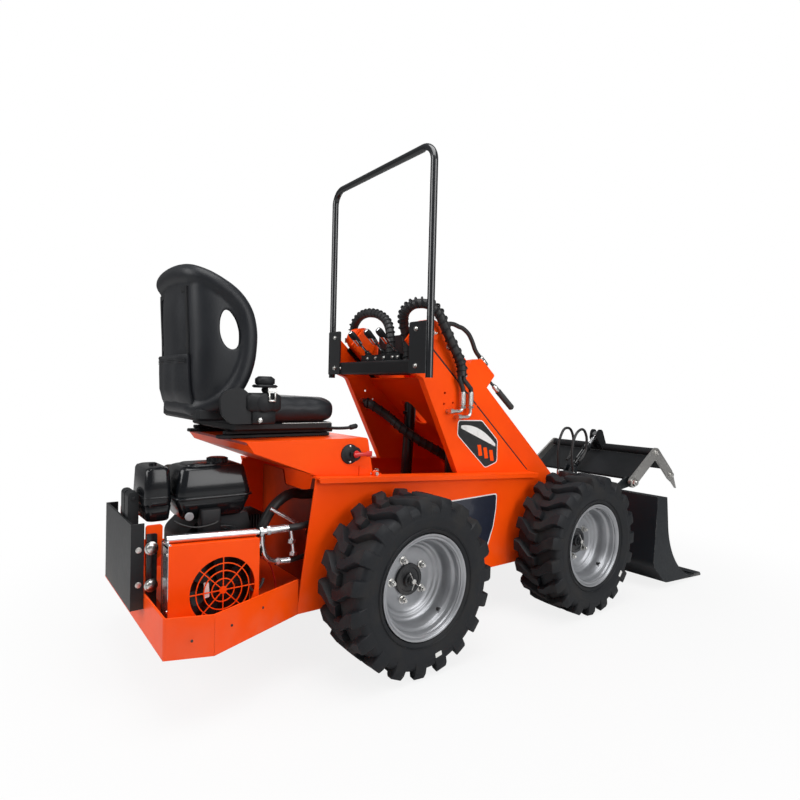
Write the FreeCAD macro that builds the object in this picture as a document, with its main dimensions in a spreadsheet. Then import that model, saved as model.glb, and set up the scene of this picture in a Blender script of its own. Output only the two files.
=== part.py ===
"""Mini loader: a ride-on skid-steer loader with a front boom, a bucket and a grapple.

Millimetres, +Z up.  The machine faces -Y and its right-hand side is -X.  Every piece is drawn in
vehicle coordinates, whose origin is on the ground midway between the axles, and its Placement then
carries it to the part's frame, whose origin is on the ground under the middle of the overall box.
"""
import FreeCAD, Part
import math
import os

import Sketcher
from FreeCAD import Placement, Rotation, Vector

doc = FreeCAD.newDocument("MiniLoader")
sheet = doc.addObject("Spreadsheet::Sheet", "Sizes")


# ------------------------------------------------------------------ sizes and expressions
class Dim:
    """A size that knows its number and the spreadsheet expression that it comes from."""

    def __init__(self, number, text):
        self.number = float(number)
        self.text = text

    def __add__(self, other):
        other = as_dim(other)
        return Dim(self.number + other.number, f"({self.text} + {other.text})")

    def __sub__(self, other):
        other = as_dim(other)
        return Dim(self.number - other.number, f"({self.text} - {other.text})")

    def __mul__(self, other):
        other = as_dim(other)
        return Dim(self.number * other.number, f"({self.text} * {other.text})")

    def __truediv__(self, other):
        other = as_dim(other)
        return Dim(self.number / other.number, f"({self.text} / {other.text})")

    def __radd__(self, other):
        return as_dim(other) + self

    def __rsub__(self, other):
        return as_dim(other) - self

    def __rmul__(self, other):
        return as_dim(other) * self

    def __neg__(self):
        return Dim(-self.number, f"(0 - {self.text})")

    def __float__(self):
        return self.number


def as_dim(value):
    """Wrap a plain number, so that it can join an expression."""
    return value if isinstance(value, Dim) else Dim(value, f"({float(value)!r})")


cell_row = 0


def size(name, value, note):
    """Write one driving size to the sheet and return it as a Dim."""
    global cell_row
    cell_row += 1
    sheet.set(f"A{cell_row}", note)
    sheet.set(f"B{cell_row}", str(value))
    sheet.setAlias(f"B{cell_row}", name)
    return Dim(value, f"Sizes.{name}")


def bind(thing, prop, value):
    """Tie a property to its spreadsheet expression."""
    thing.setExpression(prop, as_dim(value).text)


# ------------------------------------------------------------------ ways of making pieces
def plane_of(body, role):
    """Find one of a body's own origin planes or axes by its role."""
    return next(item for item in body.Origin.OriginFeatures if item.Role == role)


def new_body(name):
    """Start a PartDesign body that may hold more than one solid."""
    body = doc.addObject("PartDesign::Body", name)
    body.AllowCompound = True
    return body


def outline(body, role, corners, offset=0.0, holes=()):
    """Sketch a closed outline whose every corner, and every hole, is tied to the sheet.

    role is the origin plane.  A corner is (across, up), or (across, up, radius) where it is rounded,
    and a hole is (across, up, radius).
    """
    sketch = body.newObject("Sketcher::SketchObject", body.Name + "_outline")
    sketch.AttachmentSupport = [(plane_of(body, role), "")]
    sketch.MapMode = "FlatFace"
    bind(sketch, "AttachmentOffset.Base.z", offset)
    points = [Vector(float(corner[0]), float(corner[1]), 0) for corner in corners]
    count = len(points)
    starts, ends, arcs = list(points), points[1:] + points[:1], {}
    for i, corner in enumerate(corners):
        if len(corner) == 3:
            radius = float(corner[2])
            inward = (points[i - 1] - points[i]).normalize()
            outward = (points[(i + 1) % count] - points[i]).normalize()
            half_turn = (math.pi - inward.getAngle(outward)) / 2
            ends[i - 1] = points[i] + inward * (radius * math.tan(half_turn))
            starts[i] = points[i] + outward * (radius * math.tan(half_turn))
            arcs[i] = points[i] + (inward + outward).normalize() * (radius / math.cos(half_turn))
    for start, end in zip(starts, ends):
        sketch.addGeometry(Part.LineSegment(start, end), False)
    for i, corner in enumerate(corners):
        before = (i - 1) % count
        if i in arcs:
            round_corner(sketch, arcs[i], ends[before], starts[i], before, i, corner)
        else:
            sketch.addConstraint(Sketcher.Constraint("Coincident", before, 2, i, 1))
            place_point(sketch, i, 1, corner[0], corner[1])
    for across, up, radius in holes:
        circle = Part.Circle(Vector(float(across), float(up), 0), Vector(0, 0, 1), float(radius))
        index = sketch.addGeometry(circle, False)
        place_point(sketch, index, 3, across, up)
        ring = sketch.addConstraint(Sketcher.Constraint("Radius", index, float(radius)))
        bind(sketch, f"Constraints[{ring}]", radius)
    return sketch


def round_corner(sketch, centre, arrive, leave, before, after, corner):
    """Join two sketch lines by an arc that is tangent to both, and hold their sharp corner."""
    across, up, radius = corner
    left_turn = (arrive - centre).cross(leave - centre).z > 0
    first, last = (arrive, leave) if left_turn else (leave, arrive)
    angles = [math.atan2(end.y - centre.y, end.x - centre.x) for end in (first, last)]
    circle = Part.Circle(centre, Vector(0, 0, 1), float(radius))
    arc = sketch.addGeometry(Part.ArcOfCircle(circle, *angles), False)
    sketch.addConstraint(Sketcher.Constraint("Tangent", before, 2, arc, 1 if left_turn else 2))
    sketch.addConstraint(Sketcher.Constraint("Tangent", arc, 2 if left_turn else 1, after, 1))
    ring = sketch.addConstraint(Sketcher.Constraint("Radius", arc, float(radius)))
    bind(sketch, f"Constraints[{ring}]", radius)
    sharp = sketch.addGeometry(Part.Point(Vector(float(across), float(up), 0)), True)
    place_point(sketch, sharp, 1, across, up)
    for line in (before, after):
        sketch.addConstraint(Sketcher.Constraint("PointOnObject", sharp, 1, line))


def place_point(sketch, geometry, point, across, up):
    """Hold one sketch point at its distances from the sketch's origin."""
    for kind, value in (("DistanceX", across), ("DistanceY", up)):
        row = sketch.addConstraint(Sketcher.Constraint(kind, -1, 1, geometry, point, float(value)))
        bind(sketch, f"Constraints[{row}]", value)


def add_pad(body, sketch, length):
    """Pad a sketch along its own normal."""
    pad = body.newObject("PartDesign::Pad", body.Name + "_pad")
    pad.Profile = sketch
    bind(pad, "Length", length)
    return pad


def slab(name, role, corners, offset, length, holes=()):
    """Make a flat piece: one outline, padded by its thickness."""
    body = new_body(name)
    add_pad(body, outline(body, role, corners, offset, holes), length)
    return body


def turned(name, profile):
    """Revolve an (x, radius) profile about the X axis."""
    body = new_body(name)
    turn = body.newObject("PartDesign::Revolution", name + "_turn")
    turn.Profile = outline(body, "XZ_Plane", profile)
    turn.ReferenceAxis = (plane_of(body, "X_Axis"), [""])
    turn.Angle = 360
    return body


def block(name, low, high):
    """Make a box between two corners."""
    box = doc.addObject("Part::Box", name)
    for side, first, last in zip(("Length", "Width", "Height"), low, high):
        bind(box, side, as_dim(last) - first)
    for axis, first in zip("xyz", low):
        bind(box, f"Placement.Base.{axis}", first)
    return box


def rod(name, radius, length, start, along="X"):
    """Make a round bar that starts at a point and runs along +X, +Y or +Z."""
    bar = doc.addObject("Part::Cylinder", name)
    bind(bar, "Radius", radius)
    bind(bar, "Height", length)
    turn = {"X": Rotation(Vector(0, 1, 0), 90), "Y": Rotation(Vector(1, 0, 0), -90),
            "Z": Rotation()}[along]
    bar.Placement = Placement(Vector(), turn)
    for axis, first in zip("xyz", start):
        bind(bar, f"Placement.Base.{axis}", first)
    return bar


def bar(name, radius, start, end):
    """Make a round bar between two points."""
    piece = doc.addObject("Part::Cylinder", name)
    bind(piece, "Radius", radius)
    run = Vector(*map(float, end)) - Vector(*map(float, start))
    piece.Height = run.Length
    piece.Placement = Placement(Vector(*map(float, start)), Rotation(Vector(0, 0, 1), run))
    return piece


def ball(name, radius, middle):
    """Make a ball."""
    piece = doc.addObject("Part::Sphere", name)
    bind(piece, "Radius", radius)
    piece.Placement.Base = Vector(*map(float, middle))
    return piece


def fused(name, pieces):
    """Weld pieces into one solid."""
    weld = doc.addObject("Part::MultiFuse", name)
    weld.Shapes = pieces
    weld.Refine = True
    return weld


def cut(name, base, tool):
    """Take one piece out of another."""
    result = doc.addObject("Part::Cut", name)
    result.Base = base
    result.Tool = tool
    return result


def grouped(name, pieces):
    """Hold like pieces that don't touch in one sub-part."""
    group = doc.addObject("Part::Compound", name)
    group.Links = pieces
    return group


def mirror(piece):
    """Make the left-hand twin of a right-hand piece."""
    twin = doc.addObject("Part::Mirroring", piece.Name + "_twin")
    twin.Source = piece
    twin.Normal = Vector(1, 0, 0)
    return twin


def both_sides(name, piece):
    """Hold a piece and its twin as two solids of one sub-part."""
    return grouped(name, [piece, mirror(piece)])


def tube(name, points, radius, bend=None):
    """Bend a round bar along straight runs joined by tangent arcs.

    Each arc has the given bend radius, or else is as large as its two runs allow.
    """
    edges = []
    start = points[0]
    for i in range(1, len(points) - 1):
        before, corner, after = points[i - 1], points[i], points[i + 1]
        inward = (before - corner).normalize()
        outward = (after - corner).normalize()
        half_turn = (math.pi - inward.getAngle(outward)) / 2
        cut_back = 0.45 * min((before - corner).Length, (after - corner).Length)
        if bend:
            cut_back = float(bend) * math.tan(half_turn)
        first = corner + inward * cut_back
        last = corner + outward * cut_back
        arc_radius = cut_back / math.tan(half_turn)
        middle_way = (inward + outward).normalize()
        centre = corner + middle_way * (arc_radius / math.cos(half_turn))
        edges.append(Part.LineSegment(start, first).toShape())
        edges.append(Part.Arc(first, centre - middle_way * arc_radius, last).toShape())
        start = last
    edges.append(Part.LineSegment(start, points[-1]).toShape())
    path = Part.Wire(edges)
    direction = points[1] - points[0]
    ring = Part.Wire([Part.makeCircle(float(radius), points[0], direction)])
    piece = doc.addObject("Part::Feature", name)
    piece.Shape = path.makePipeShell([ring], True, False)
    return piece


nodes = []


def node(label, piece, place=None):
    """Name a finished sub-part and carry it to the part's frame."""
    if piece.TypeId in ("Part::Box", "Part::Cylinder"):
        piece = grouped(piece.Name + "_piece", [piece])
    piece.Label = label
    piece.Placement = place or to_part_frame(0.0, 0.0, 0.0)
    nodes.append(piece)


def to_part_frame(across, along, up, tilt=0.0):
    """Give the Placement of a piece drawn about a vehicle point, turned about X by tilt degrees."""
    place = Vector(float(across), float(along) + float(axle_middle), float(up))
    return Placement(place, Rotation(Vector(1, 0, 0), float(tilt)))


# ------------------------------------------------------------------ driving sizes
wheelbase = size("wheelbase", 908, "front axle to rear axle")
axle_middle = size("axle_middle", 140.5, "midway between the axles, ahead of the part's origin")
tyre_radius = size("tyre_radius", 290, "tyre outside radius")
tyre_width = size("tyre_width", 212, "tyre section width")
wheel_gap = size("wheel_gap", 34, "side plate to tyre")
rim_radius = size("rim_radius", 170, "rim flange radius")
rim_width = size("rim_width", 192, "rim over its flanges")
sheet_thick = size("sheet_thick", 6, "side plates, floor and deck")
frame_half = size("frame_half", 312, "middle to outside of a side plate")
floor_low = size("floor_low", 200, "underside of the floor")
deck_half = size("deck_half", 332, "middle to the deck flange's edge")
deck_rear_up = size("deck_rear_up", 630, "deck height at its rear end")
deck_nose_up = size("deck_nose_up", 570, "deck height at its front end")
deck_rear = size("deck_rear", 729, "deck's rear end")
deck_nose = size("deck_nose", 345, "deck's front end, ahead of the middle")
side_foot_rear = size("side_foot_rear", 790, "side plate's lower rear corner")
side_foot_nose = size("side_foot_nose", 690, "side plate's lower front corner, ahead of the middle")
tray_half = size("tray_half", 440, "middle to the tray's side")
tray_shoulder = size("tray_shoulder", 1094, "where the tray's sides turn in")
tray_rear = size("tray_rear", 1213, "tray's rear wall")
tray_wall = size("tray_wall", 110, "tray wall height over the floor's underside")
tower_half = size("tower_half", 279, "middle to outside of a tower plate")
tower_foot = size("tower_foot", 85, "tower plate's rear foot")
tower_waist = size("tower_waist", 962, "height where the tower's rear edge turns upright")
tower_back = size("tower_back", 312, "tower's upright rear face")
tower_top = size("tower_top", 1142, "tower plate's top corner")
pivot_along = size("pivot_along", 219, "boom pivot")
pivot_up = size("pivot_up", 1132, "boom pivot height")
arm_slope = size("arm_slope", 41.6, "boom arm below level, degrees")
arm_length = size("arm_length", 1404, "boom pivot to bucket pivot")
arm_depth = size("arm_depth", 100, "boom arm depth")
arm_width = size("arm_width", 60, "boom arm box width")
arm_gap = size("arm_gap", 8, "arm to tower plate and arm to pivot ear")
pin_radius = size("pin_radius", 15, "pivot pin")
pin_play = size("pin_play", 0.05, "pivot pin's play in its bore")
hoop_half = size("hoop_half", 345, "middle of a hoop leg")
hoop_top = size("hoop_top", 1802, "hoop's top bar")
hoop_tube = size("hoop_tube", 14, "hoop tube radius")
hoop_bend = size("hoop_bend", 62, "hoop corner radius")
seat_deck_half = size("seat_deck_half", 290, "seat deck half width")
seat_deck_top = size("seat_deck_top", 748, "seat deck's top")
seat_deck_front = size("seat_deck_front", 520, "seat deck's front edge")
seat_deck_rear = size("seat_deck_rear", 957, "seat deck's rear edge")
bucket_half = size("bucket_half", 550, "bucket half width")
grapple_half = size("grapple_half", 333, "grapple half width")

plate_round = size("plate_round", 12, "rounding of a sheet's corner")
fan_along = size("fan_along", 1024, "cooler fan's middle")
fan_up = size("fan_up", 322, "cooler fan's middle height")
fan_radius = size("fan_radius", 96, "cooler fan opening")
cooler_face = size("cooler_face", 305, "middle to the cooler's outer face")
cooler_deep = size("cooler_deep", 60, "cooler box depth")
cooler_front = size("cooler_front", 914, "cooler's front end")
cooler_rear = size("cooler_rear", 1178, "cooler's rear end")
crank_along = size("crank_along", 975, "engine shaft")
crank_up = size("crank_up", 360, "engine shaft height")
engine_right = size("engine_right", 120, "middle to the crankcase's right face")
engine_left = size("engine_left", 80, "middle to the crankcase's left face")
tank_right = size("tank_right", 180, "middle to the fuel tank's right face")
tank_low = size("tank_low", 500, "fuel tank's underside")
tank_lip = size("tank_lip", 570, "fuel tank's seam")
hose_radius = size("hose_radius", 9, "single hydraulic hose")
bundle_radius = size("bundle_radius", 18, "wrapped pair of hoses")

slope = math.radians(float(arm_slope))


def deck_line(along):
    """Height of the sloping deck's top face at a place along the machine."""
    return deck_rear_up - (deck_rear - along) * ((deck_rear_up - deck_nose_up) / (deck_rear + deck_nose))


def boom_frame():
    """Placement of a piece drawn from the boom pivot: -Y runs down the arm and Z stands on it."""
    return to_part_frame(0.0, pivot_along, pivot_up, arm_slope)


def on_arm(down, over):
    """Vehicle place of a point that lies down the arm and over its middle line."""
    along = float(pivot_along) - down * math.cos(slope) - over * math.sin(slope)
    up = float(pivot_up) - down * math.sin(slope) + over * math.cos(slope)
    return along, up


# ------------------------------------------------------------------ main frame
def sheet_line(near, far):
    """Close a sheet of the usual thickness under a top line."""
    return [near, far, (far[0], far[1] - sheet_thick), (near[0], near[1] - sheet_thick)]


frame_inner = frame_half - sheet_thick
tower_inner = tower_half - sheet_thick
floor_top = floor_low + sheet_thick
deck_ends = [(deck_rear, deck_line(deck_rear)), (-deck_nose, deck_line(-deck_nose))]
side = slab("side_plate", "YZ_Plane",
            deck_ends + [(-side_foot_nose, floor_low + 15, plate_round),
                         (-side_foot_nose + 25, floor_low), (side_foot_rear, floor_low)], frame_inner,
            sheet_thick)
deck = slab("deck_flange", "YZ_Plane", sheet_line(*deck_ends), tower_inner, deck_half - tower_inner)
hem = slab("deck_hem", "YZ_Plane",
           [(deck_rear, deck_line(deck_rear)), (-deck_nose, deck_line(-deck_nose)),
            (-deck_nose + 12, deck_line(-deck_nose) - 18), (deck_rear - 4, deck_line(deck_rear) - 18)],
           deck_half - 3, 3)
floor = slab("floor_sheet", "XY_Plane",
             [(-frame_inner, -side_foot_nose + 25), (frame_inner, -side_foot_nose + 25),
              (frame_inner, side_foot_rear), (tray_half, tray_shoulder), (tray_half, tray_rear),
              (-tray_half, tray_rear), (-tray_half, tray_shoulder), (-frame_inner, side_foot_rear)],
             floor_low, sheet_thick)
wall = slab("tray_wall_sheet", "XY_Plane",
            [(frame_inner, side_foot_rear), (frame_half, side_foot_rear - 4), (tray_half, tray_shoulder),
             (tray_half, tray_rear, 9), (-tray_half, tray_rear, 9), (-tray_half, tray_shoulder),
             (-frame_half, side_foot_rear - 4), (-frame_inner, side_foot_rear),
             (sheet_thick - tray_half, tray_shoulder + 1),
             (sheet_thick - tray_half, tray_rear - sheet_thick, 3),
             (tray_half - sheet_thick, tray_rear - sheet_thick, 3),
             (tray_half - sheet_thick, tray_shoulder + 1)], floor_low, tray_wall)
node("main_frame",
     fused("frame_weld", [side, mirror(side), deck, mirror(deck), hem, mirror(hem), floor, wall]))

bulkhead_along = 640
bulkhead = slab("bulkhead_sheet", "XZ_Plane",
                [(1 - frame_inner, floor_top), (frame_inner - 1, floor_top),
                 (frame_inner - 1, 595, plate_round), (120, 595, plate_round), (100, 540, plate_round),
                 (-100, 540, plate_round), (-120, 595, plate_round), (1 - frame_inner, 595, plate_round)],
                -bulkhead_along, 5)
node("engine_bulkhead", bulkhead)

# ------------------------------------------------------------------ tower
tower_nose = 335
tower_line = [(tower_foot, deck_line(tower_foot)), (tower_back - 40, tower_waist, 30),
              (tower_back, tower_waist + 14)]
plate = slab("tower_sheet", "YZ_Plane",
             tower_line + [(tower_back, tower_top, 3), (-tower_nose, deck_line(-tower_nose))],
             tower_inner, sheet_thick, holes=[(161, 907, 5), (164, 865, 5), (118, 869, 5)])
flange = slab("tower_flange", "YZ_Plane",
              [(tower_foot, deck_line(tower_foot)), (tower_back - 40, tower_waist, 30),
               (tower_back, tower_waist + 14), (tower_back - sheet_thick, tower_waist + 14),
               (tower_back - 48, tower_waist, 24), (tower_foot - 7, deck_line(tower_foot - 7))],
              tower_inner - 24, 25)
node("tower_side_plates", both_sides("tower_pair", fused("tower_weld", [plate, flange])))

panel_over = -arm_depth / 2 - 25
panel = slab("tower_panel_sheet", "XY_Plane",
             [(1 - tower_inner, -170), (tower_inner - 1, -170), (tower_inner - 1, -1262),
              (1 - tower_inner, -1262)], panel_over, 5)
slots = new_body("cylinder_slots")
lift_across = float(tower_inner - 2 * arm_gap - arm_width - 47)
for middle in (-lift_across, lift_across):
    add_pad(slots, outline(slots, "XY_Plane", [(middle - 38, -480, 30), (middle + 38, -480, 30),
                                               (middle + 38, -320, 30), (middle - 38, -320, 30)],
                           panel_over - 15), 40)
node("tower_front_panel", cut("panel_slotted", panel, slots), boom_frame())

ear_inner = tower_inner - 2 * arm_gap - arm_width - 10
ear_round = 44
ear = slab("ear_plate", "YZ_Plane",
           [(38, panel_over + 6), (ear_round, ear_round, 30), (-ear_round, ear_round, 30), (-70, -45, 40),
            (-230, panel_over + 5.2)], ear_inner, 10)
pin = rod("pivot_pin", pin_radius, tower_inner + 1 - ear_inner, (ear_inner, 0, 0))
cap = rod("pivot_cap", 24, 5, (tower_inner, 0, 0))
node("boom_pivot_ears", both_sides("ear_pair", fused("ear_weld", [ear, pin, cap])), boom_frame())

# ------------------------------------------------------------------ console with its levers
lip_along = tower_back - 28
tray_up = 1030
lip_low = 977
lip = slab("console_lip_bar", "YZ_Plane",
           [(lip_along, lip_low), (tower_back, lip_low, 10), (tower_back, tray_up, 10),
            (lip_along, tray_up)], 2 - tower_inner, 2 * tower_inner - 4)
console_half = ear_inner - 0.3
tray = slab("console_tray", "YZ_Plane",
            [(lip_along, lip_low), (lip_along, tray_up), (158, tray_up, 6), (150, 1150), (145, 1150),
             (140, lip_low, 20)], -console_half, 2 * console_half)
valve = block("valve_block", (-110, 205, tray_up - 1), (ear_inner - 17, 255, tray_up + 30))
node("console", fused("console_weld", [lip, tray, valve]))

levers = []
for i, across in enumerate((float(ear_inner) - 37, 30, -54)):
    low = (across, 230, tray_up + 33)
    knee = (across, 238, tray_up + 44)
    top = (across, 320, tray_up + 118)
    stem = bar(f"lever_stem_{i}", 5, low, knee)
    shaft = bar(f"lever_shaft_{i}", 5, knee, top)
    grip = bar(f"lever_grip_{i}", 13, (across, 278, tray_up + 76), top)
    levers.append(fused(f"lever_{i}", [stem, ball(f"lever_knee_{i}", 7, knee), shaft, grip,
                                       ball(f"lever_top_{i}", 13, top)]))
node("control_levers", grouped("lever_set", levers))

# ------------------------------------------------------------------ hoop over the driver
hoop_along = tower_back - hoop_tube
hoop = tube("hoop_bar",
            [Vector(-float(hoop_half), float(hoop_along), float(tower_waist)),
             Vector(-float(hoop_half), float(hoop_along), float(hoop_top)),
             Vector(float(hoop_half), float(hoop_along), float(hoop_top)),
             Vector(float(hoop_half), float(hoop_along), float(tower_waist))], hoop_tube, hoop_bend)
foot_inner = tower_inner - 25
foot = slab("hoop_foot", "XZ_Plane", [(foot_inner, tower_waist + 15, 8), (hoop_half, tower_waist + 15),
                                      (hoop_half, tower_waist + 205), (foot_inner, tower_waist + 205, 8)],
            -tower_back - 6, 6)
node("hoop_frame", fused("hoop_weld", [hoop, foot, mirror(foot)]))

# ------------------------------------------------------------------ engine
engine_front, engine_rear = crank_along - 115, crank_along + 115
case = slab("crankcase", "YZ_Plane",
            [(engine_front, floor_top + 30, 20), (engine_rear, floor_top + 30, 20),
             (engine_rear, tank_low - 60, 40), (engine_rear - 60, tank_low - 0.3),
             (engine_front + 20, tank_low - 0.3), (engine_front, tank_low - 70, 30)], -engine_right,
            engine_right + engine_left)
feet = [block(f"engine_foot_{i}", (across, engine_front + 10, floor_top),
              (across + 40, engine_rear - 10, floor_top + 31)) for i, across in enumerate((-110, 40))]
fins = [block(f"cylinder_fin_{i}", (-80, engine_front - 62 + 10 * i, 330),
              (60, engine_front - 58 + 10 * i, 478)) for i in range(6)]
barrel = block("cylinder_core", (-55, engine_front - 70, 345), (35, engine_front + 5, 465))
recoil = rod("recoil_housing", 112, 26, (-engine_right - 25, crank_along, crank_up))
recoil_cap = rod("recoil_cap", 62, 12, (-engine_right - 36, crank_along, crank_up))
node("engine_block", fused("engine_weld", [case, barrel, recoil, recoil_cap] + feet + fins))
switch_box = slab("engine_switch_box", "YZ_Plane",
                  [(992, 452, 6), (1052, 452, 6), (1052, 499.7), (992, 499.7)], -tank_right - 10, 44.5)
node("engine_switch", switch_box)

tub = slab("tank_tub", "YZ_Plane",
           [(892, tank_low, 25), (1112, tank_low, 25), (1122, tank_lip), (884, tank_lip)],
           -tank_right + 4, 182)
seam = slab("tank_seam", "YZ_Plane",
            [(880, tank_lip - 3, 2), (1126, tank_lip - 3, 2), (1126, tank_lip + 4, 2),
             (880, tank_lip + 4, 2)], -tank_right, 190)
lid = slab("tank_lid", "YZ_Plane", [(884, tank_lip), (1122, tank_lip), (1106, 658, 24), (903, 672, 30)],
           -tank_right + 4, 182)
filler = rod("tank_filler", 34, 30, (-95, 975, 655), "Z")
node("engine_fuel_tank", fused("tank_weld", [tub, seam, lid, filler]))
cleaner = slab("cleaner_box", "YZ_Plane",
               [(1126.4, 505, 10), (1206, 505, 14), (1206, 660, 26), (1126.4, 668, 20)], -150, 170)
cleaner_knob = rod("cleaner_knob", 12, 20, (-70, 1166, 655), "Z")
node("engine_air_cleaner", fused("cleaner_weld", [cleaner, cleaner_knob]))
muffler = slab("muffler_box", "YZ_Plane",
               [(890, 520, 20), (1090, 520, 20), (1090, 640, 20), (890, 640, 20)], 20, 100)
muffler_stay = block("muffler_stay", (50, 960, tank_low - 0.3), (70, 1010, 530))
tail = rod("muffler_tail", 14, 40, (119, 940, 580))
node("engine_muffler", fused("muffler_weld", [muffler, muffler_stay, tail]))

bell = rod("pump_bell", 62, 60, (engine_left + 0.3, crank_along, crank_up))
pump = slab("pump_body", "YZ_Plane",
            [(crank_along - 42, crank_up - 60, 12), (crank_along + 42, crank_up - 60, 12),
             (crank_along + 42, crank_up + 60, 12), (crank_along - 42, crank_up + 60, 12)],
            engine_left + 60, 95)
pump_port = rod("pump_port", 16, 24, (engine_left + 110, crank_along, crank_up + 55), "Z")
node("hydraulic_pump", fused("pump_weld", [bell, pump, pump_port]))

# ------------------------------------------------------------------ oil cooler with its guarded fan
cooler_up_front, cooler_up_rear = 457, 472
cooler_line = [(cooler_front, floor_top), (cooler_front, cooler_up_front), (cooler_rear, cooler_up_rear),
               (cooler_rear, floor_top)]
face = slab("cooler_face_sheet", "YZ_Plane", cooler_line, -cooler_face, 3,
            holes=[(fan_along, fan_up, fan_radius)])
rim_top = slab("cooler_rim_top", "YZ_Plane",
               [(cooler_front, cooler_up_front - 3), (cooler_front, cooler_up_front),
                (cooler_rear, cooler_up_rear), (cooler_rear, cooler_up_rear - 3)], -cooler_face,
               cooler_deep)
rim_ends = [block(f"cooler_end_{i}", (-cooler_face, along, floor_top),
                  (-cooler_face + cooler_deep, along + 3, up))
            for i, (along,
                    up) in enumerate(((cooler_front, cooler_up_front - 1),
                                      (cooler_rear - 3, cooler_up_rear - 1)))]
ring_width = 3
spoke_count = 8
guard = [rod("guard_hub", 11, 3, (-cooler_face, fan_along, fan_up))]
for i, share in enumerate((0.36, 0.6, 0.83)):
    outer = rod(f"guard_outer_{i}", fan_radius * share, 3, (-cooler_face, fan_along, fan_up))
    inner = rod(f"guard_inner_{i}", fan_radius * share - ring_width, 3, (-cooler_face, fan_along, fan_up))
    guard.append(cut(f"guard_ring_{i}", outer, inner))
for i in range(spoke_count):
    spoke = slab(f"guard_spoke_{i}", "YZ_Plane",
                 [(-ring_width / 2, 5), (ring_width / 2, 5), (ring_width / 2, fan_radius + 2),
                  (-ring_width / 2, fan_radius + 2)], -cooler_face, 3)
    spoke.Placement = Placement(Vector(0, float(fan_along), float(fan_up)),
                                Rotation(Vector(1, 0, 0), 360 / spoke_count * i))
    guard.append(spoke)
core_thick = 36
core = slab("cooler_core_block", "YZ_Plane",
            [(cooler_front + 6, floor_top + 20), (cooler_front + 6, cooler_up_front - 6),
             (cooler_rear - 6, cooler_up_rear - 6), (cooler_rear - 6, floor_top + 20)],
            -cooler_face + cooler_deep, core_thick)
node("cooler_shroud", fused("shroud_weld", [face, rim_top] + rim_ends + guard))
core_foot = block("core_foot", (-cooler_face + cooler_deep, cooler_front + 6, floor_top),
                  (-cooler_face + cooler_deep + core_thick, cooler_rear - 6, floor_top + 21))
header_radius = 12
header_across = -275
header_up = 477.3
header = bar("header_pipe", header_radius, (header_across, cooler_front + 2, header_up - 7),
             (header_across, cooler_rear, header_up + 7))
neck = bar("header_neck", 9, (header_across, cooler_front - 12, header_up - 8),
           (header_across, cooler_front + 4, header_up - 7))
hexes = [bar(f"header_hex_{i}", radius, (header_across, cooler_front - first, header_up - 8),
             (header_across, cooler_front - last, header_up - 8))
         for i, (radius, first, last) in enumerate(((13, 10, 22), (10, 22, 34), (13, 34, 46)))]
sleeve = bar("header_sleeve", 11.5, (header_across, cooler_front - 46, header_up - 8),
             (header_across, cooler_front - 106, header_up - 8))
node("cooler_core", fused("core_weld", [core, core_foot]))
node("cooler_header", fused("header_weld", [header, neck, sleeve] + hexes))
blades = [rod("fan_hub", 26, 24, (-cooler_face + 20, fan_along, fan_up)),
          rod("fan_motor", 34, cooler_deep - 40, (-cooler_face + 40, fan_along, fan_up))]
blade_count = 7
for i in range(blade_count):
    blade = slab(f"fan_blade_{i}", "YZ_Plane",
                 [(-10, 20), (10, 20), (26, fan_radius - 8, 8), (-20, fan_radius - 8, 8)], 0, 3)
    tilt = Rotation(Vector(1, 0, 0), 360 / blade_count * i) * Rotation(Vector(0, 0, 1), 28)
    blade.Placement = Placement(Vector(-float(cooler_face) + 31, float(fan_along), float(fan_up)), tilt)
    blades.append(blade)
node("cooler_fan", fused("fan_weld", blades))

# ------------------------------------------------------------------ rear plate on its bracket
plate_half = 185
plate_rear = 1249
plate_low, plate_high = 268, 515
rear_plate = block("rear_slab", (-plate_half, plate_rear - 6, plate_low),
                   (plate_half, plate_rear, plate_high))
wing_ahead = tray_rear + 0.3
wings = [slab(f"rear_wing_{i}", "YZ_Plane",
              [(wing_ahead, plate_low), (plate_rear - 6, plate_low), (plate_rear - 6, plate_high),
               (wing_ahead, plate_high)], across, 6,
              holes=[(wing_ahead + 15, 340, 6.5), (wing_ahead + 15, 440, 6.5)])
         for i, across in enumerate((-plate_half, plate_half - 6))]
catches = [slab(f"rear_catch_{i}", "YZ_Plane",
                [(1210, plate_high - 40), (1240, plate_high - 40), (1240, 592, 13), (1210, 592, 13)],
                across, 44) for i, across in enumerate((-96, -44))]
catch_bar = block("rear_catch_bar", (-96, plate_rear - 34, plate_high - 40),
                  (0, plate_rear - 5, plate_high - 8))
node("counterweight_plate", fused("rear_weld", [rear_plate, catch_bar] + wings + catches))
post_in = tray_rear - sheet_thick
bracket = slab("bracket_post", "YZ_Plane",
               [(post_in - 50, floor_top), (post_in, floor_top), (post_in, 505, 8),
                (post_in - 46, 505, 8), (post_in - 46, 420), (post_in - 25, 400), (post_in - 25, 300),
                (post_in - 50, 260)], 168, 8)
node("rear_brackets", both_sides("bracket_pair", bracket))
channel = slab("channel_web", "YZ_Plane",
               [(post_in - 30, floor_top), (post_in - 1, floor_top), (post_in - 1, 482),
                (post_in - 30, 482, 6)], 176.3, 5)
node("rear_channels", both_sides("channel_pair", channel))

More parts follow.
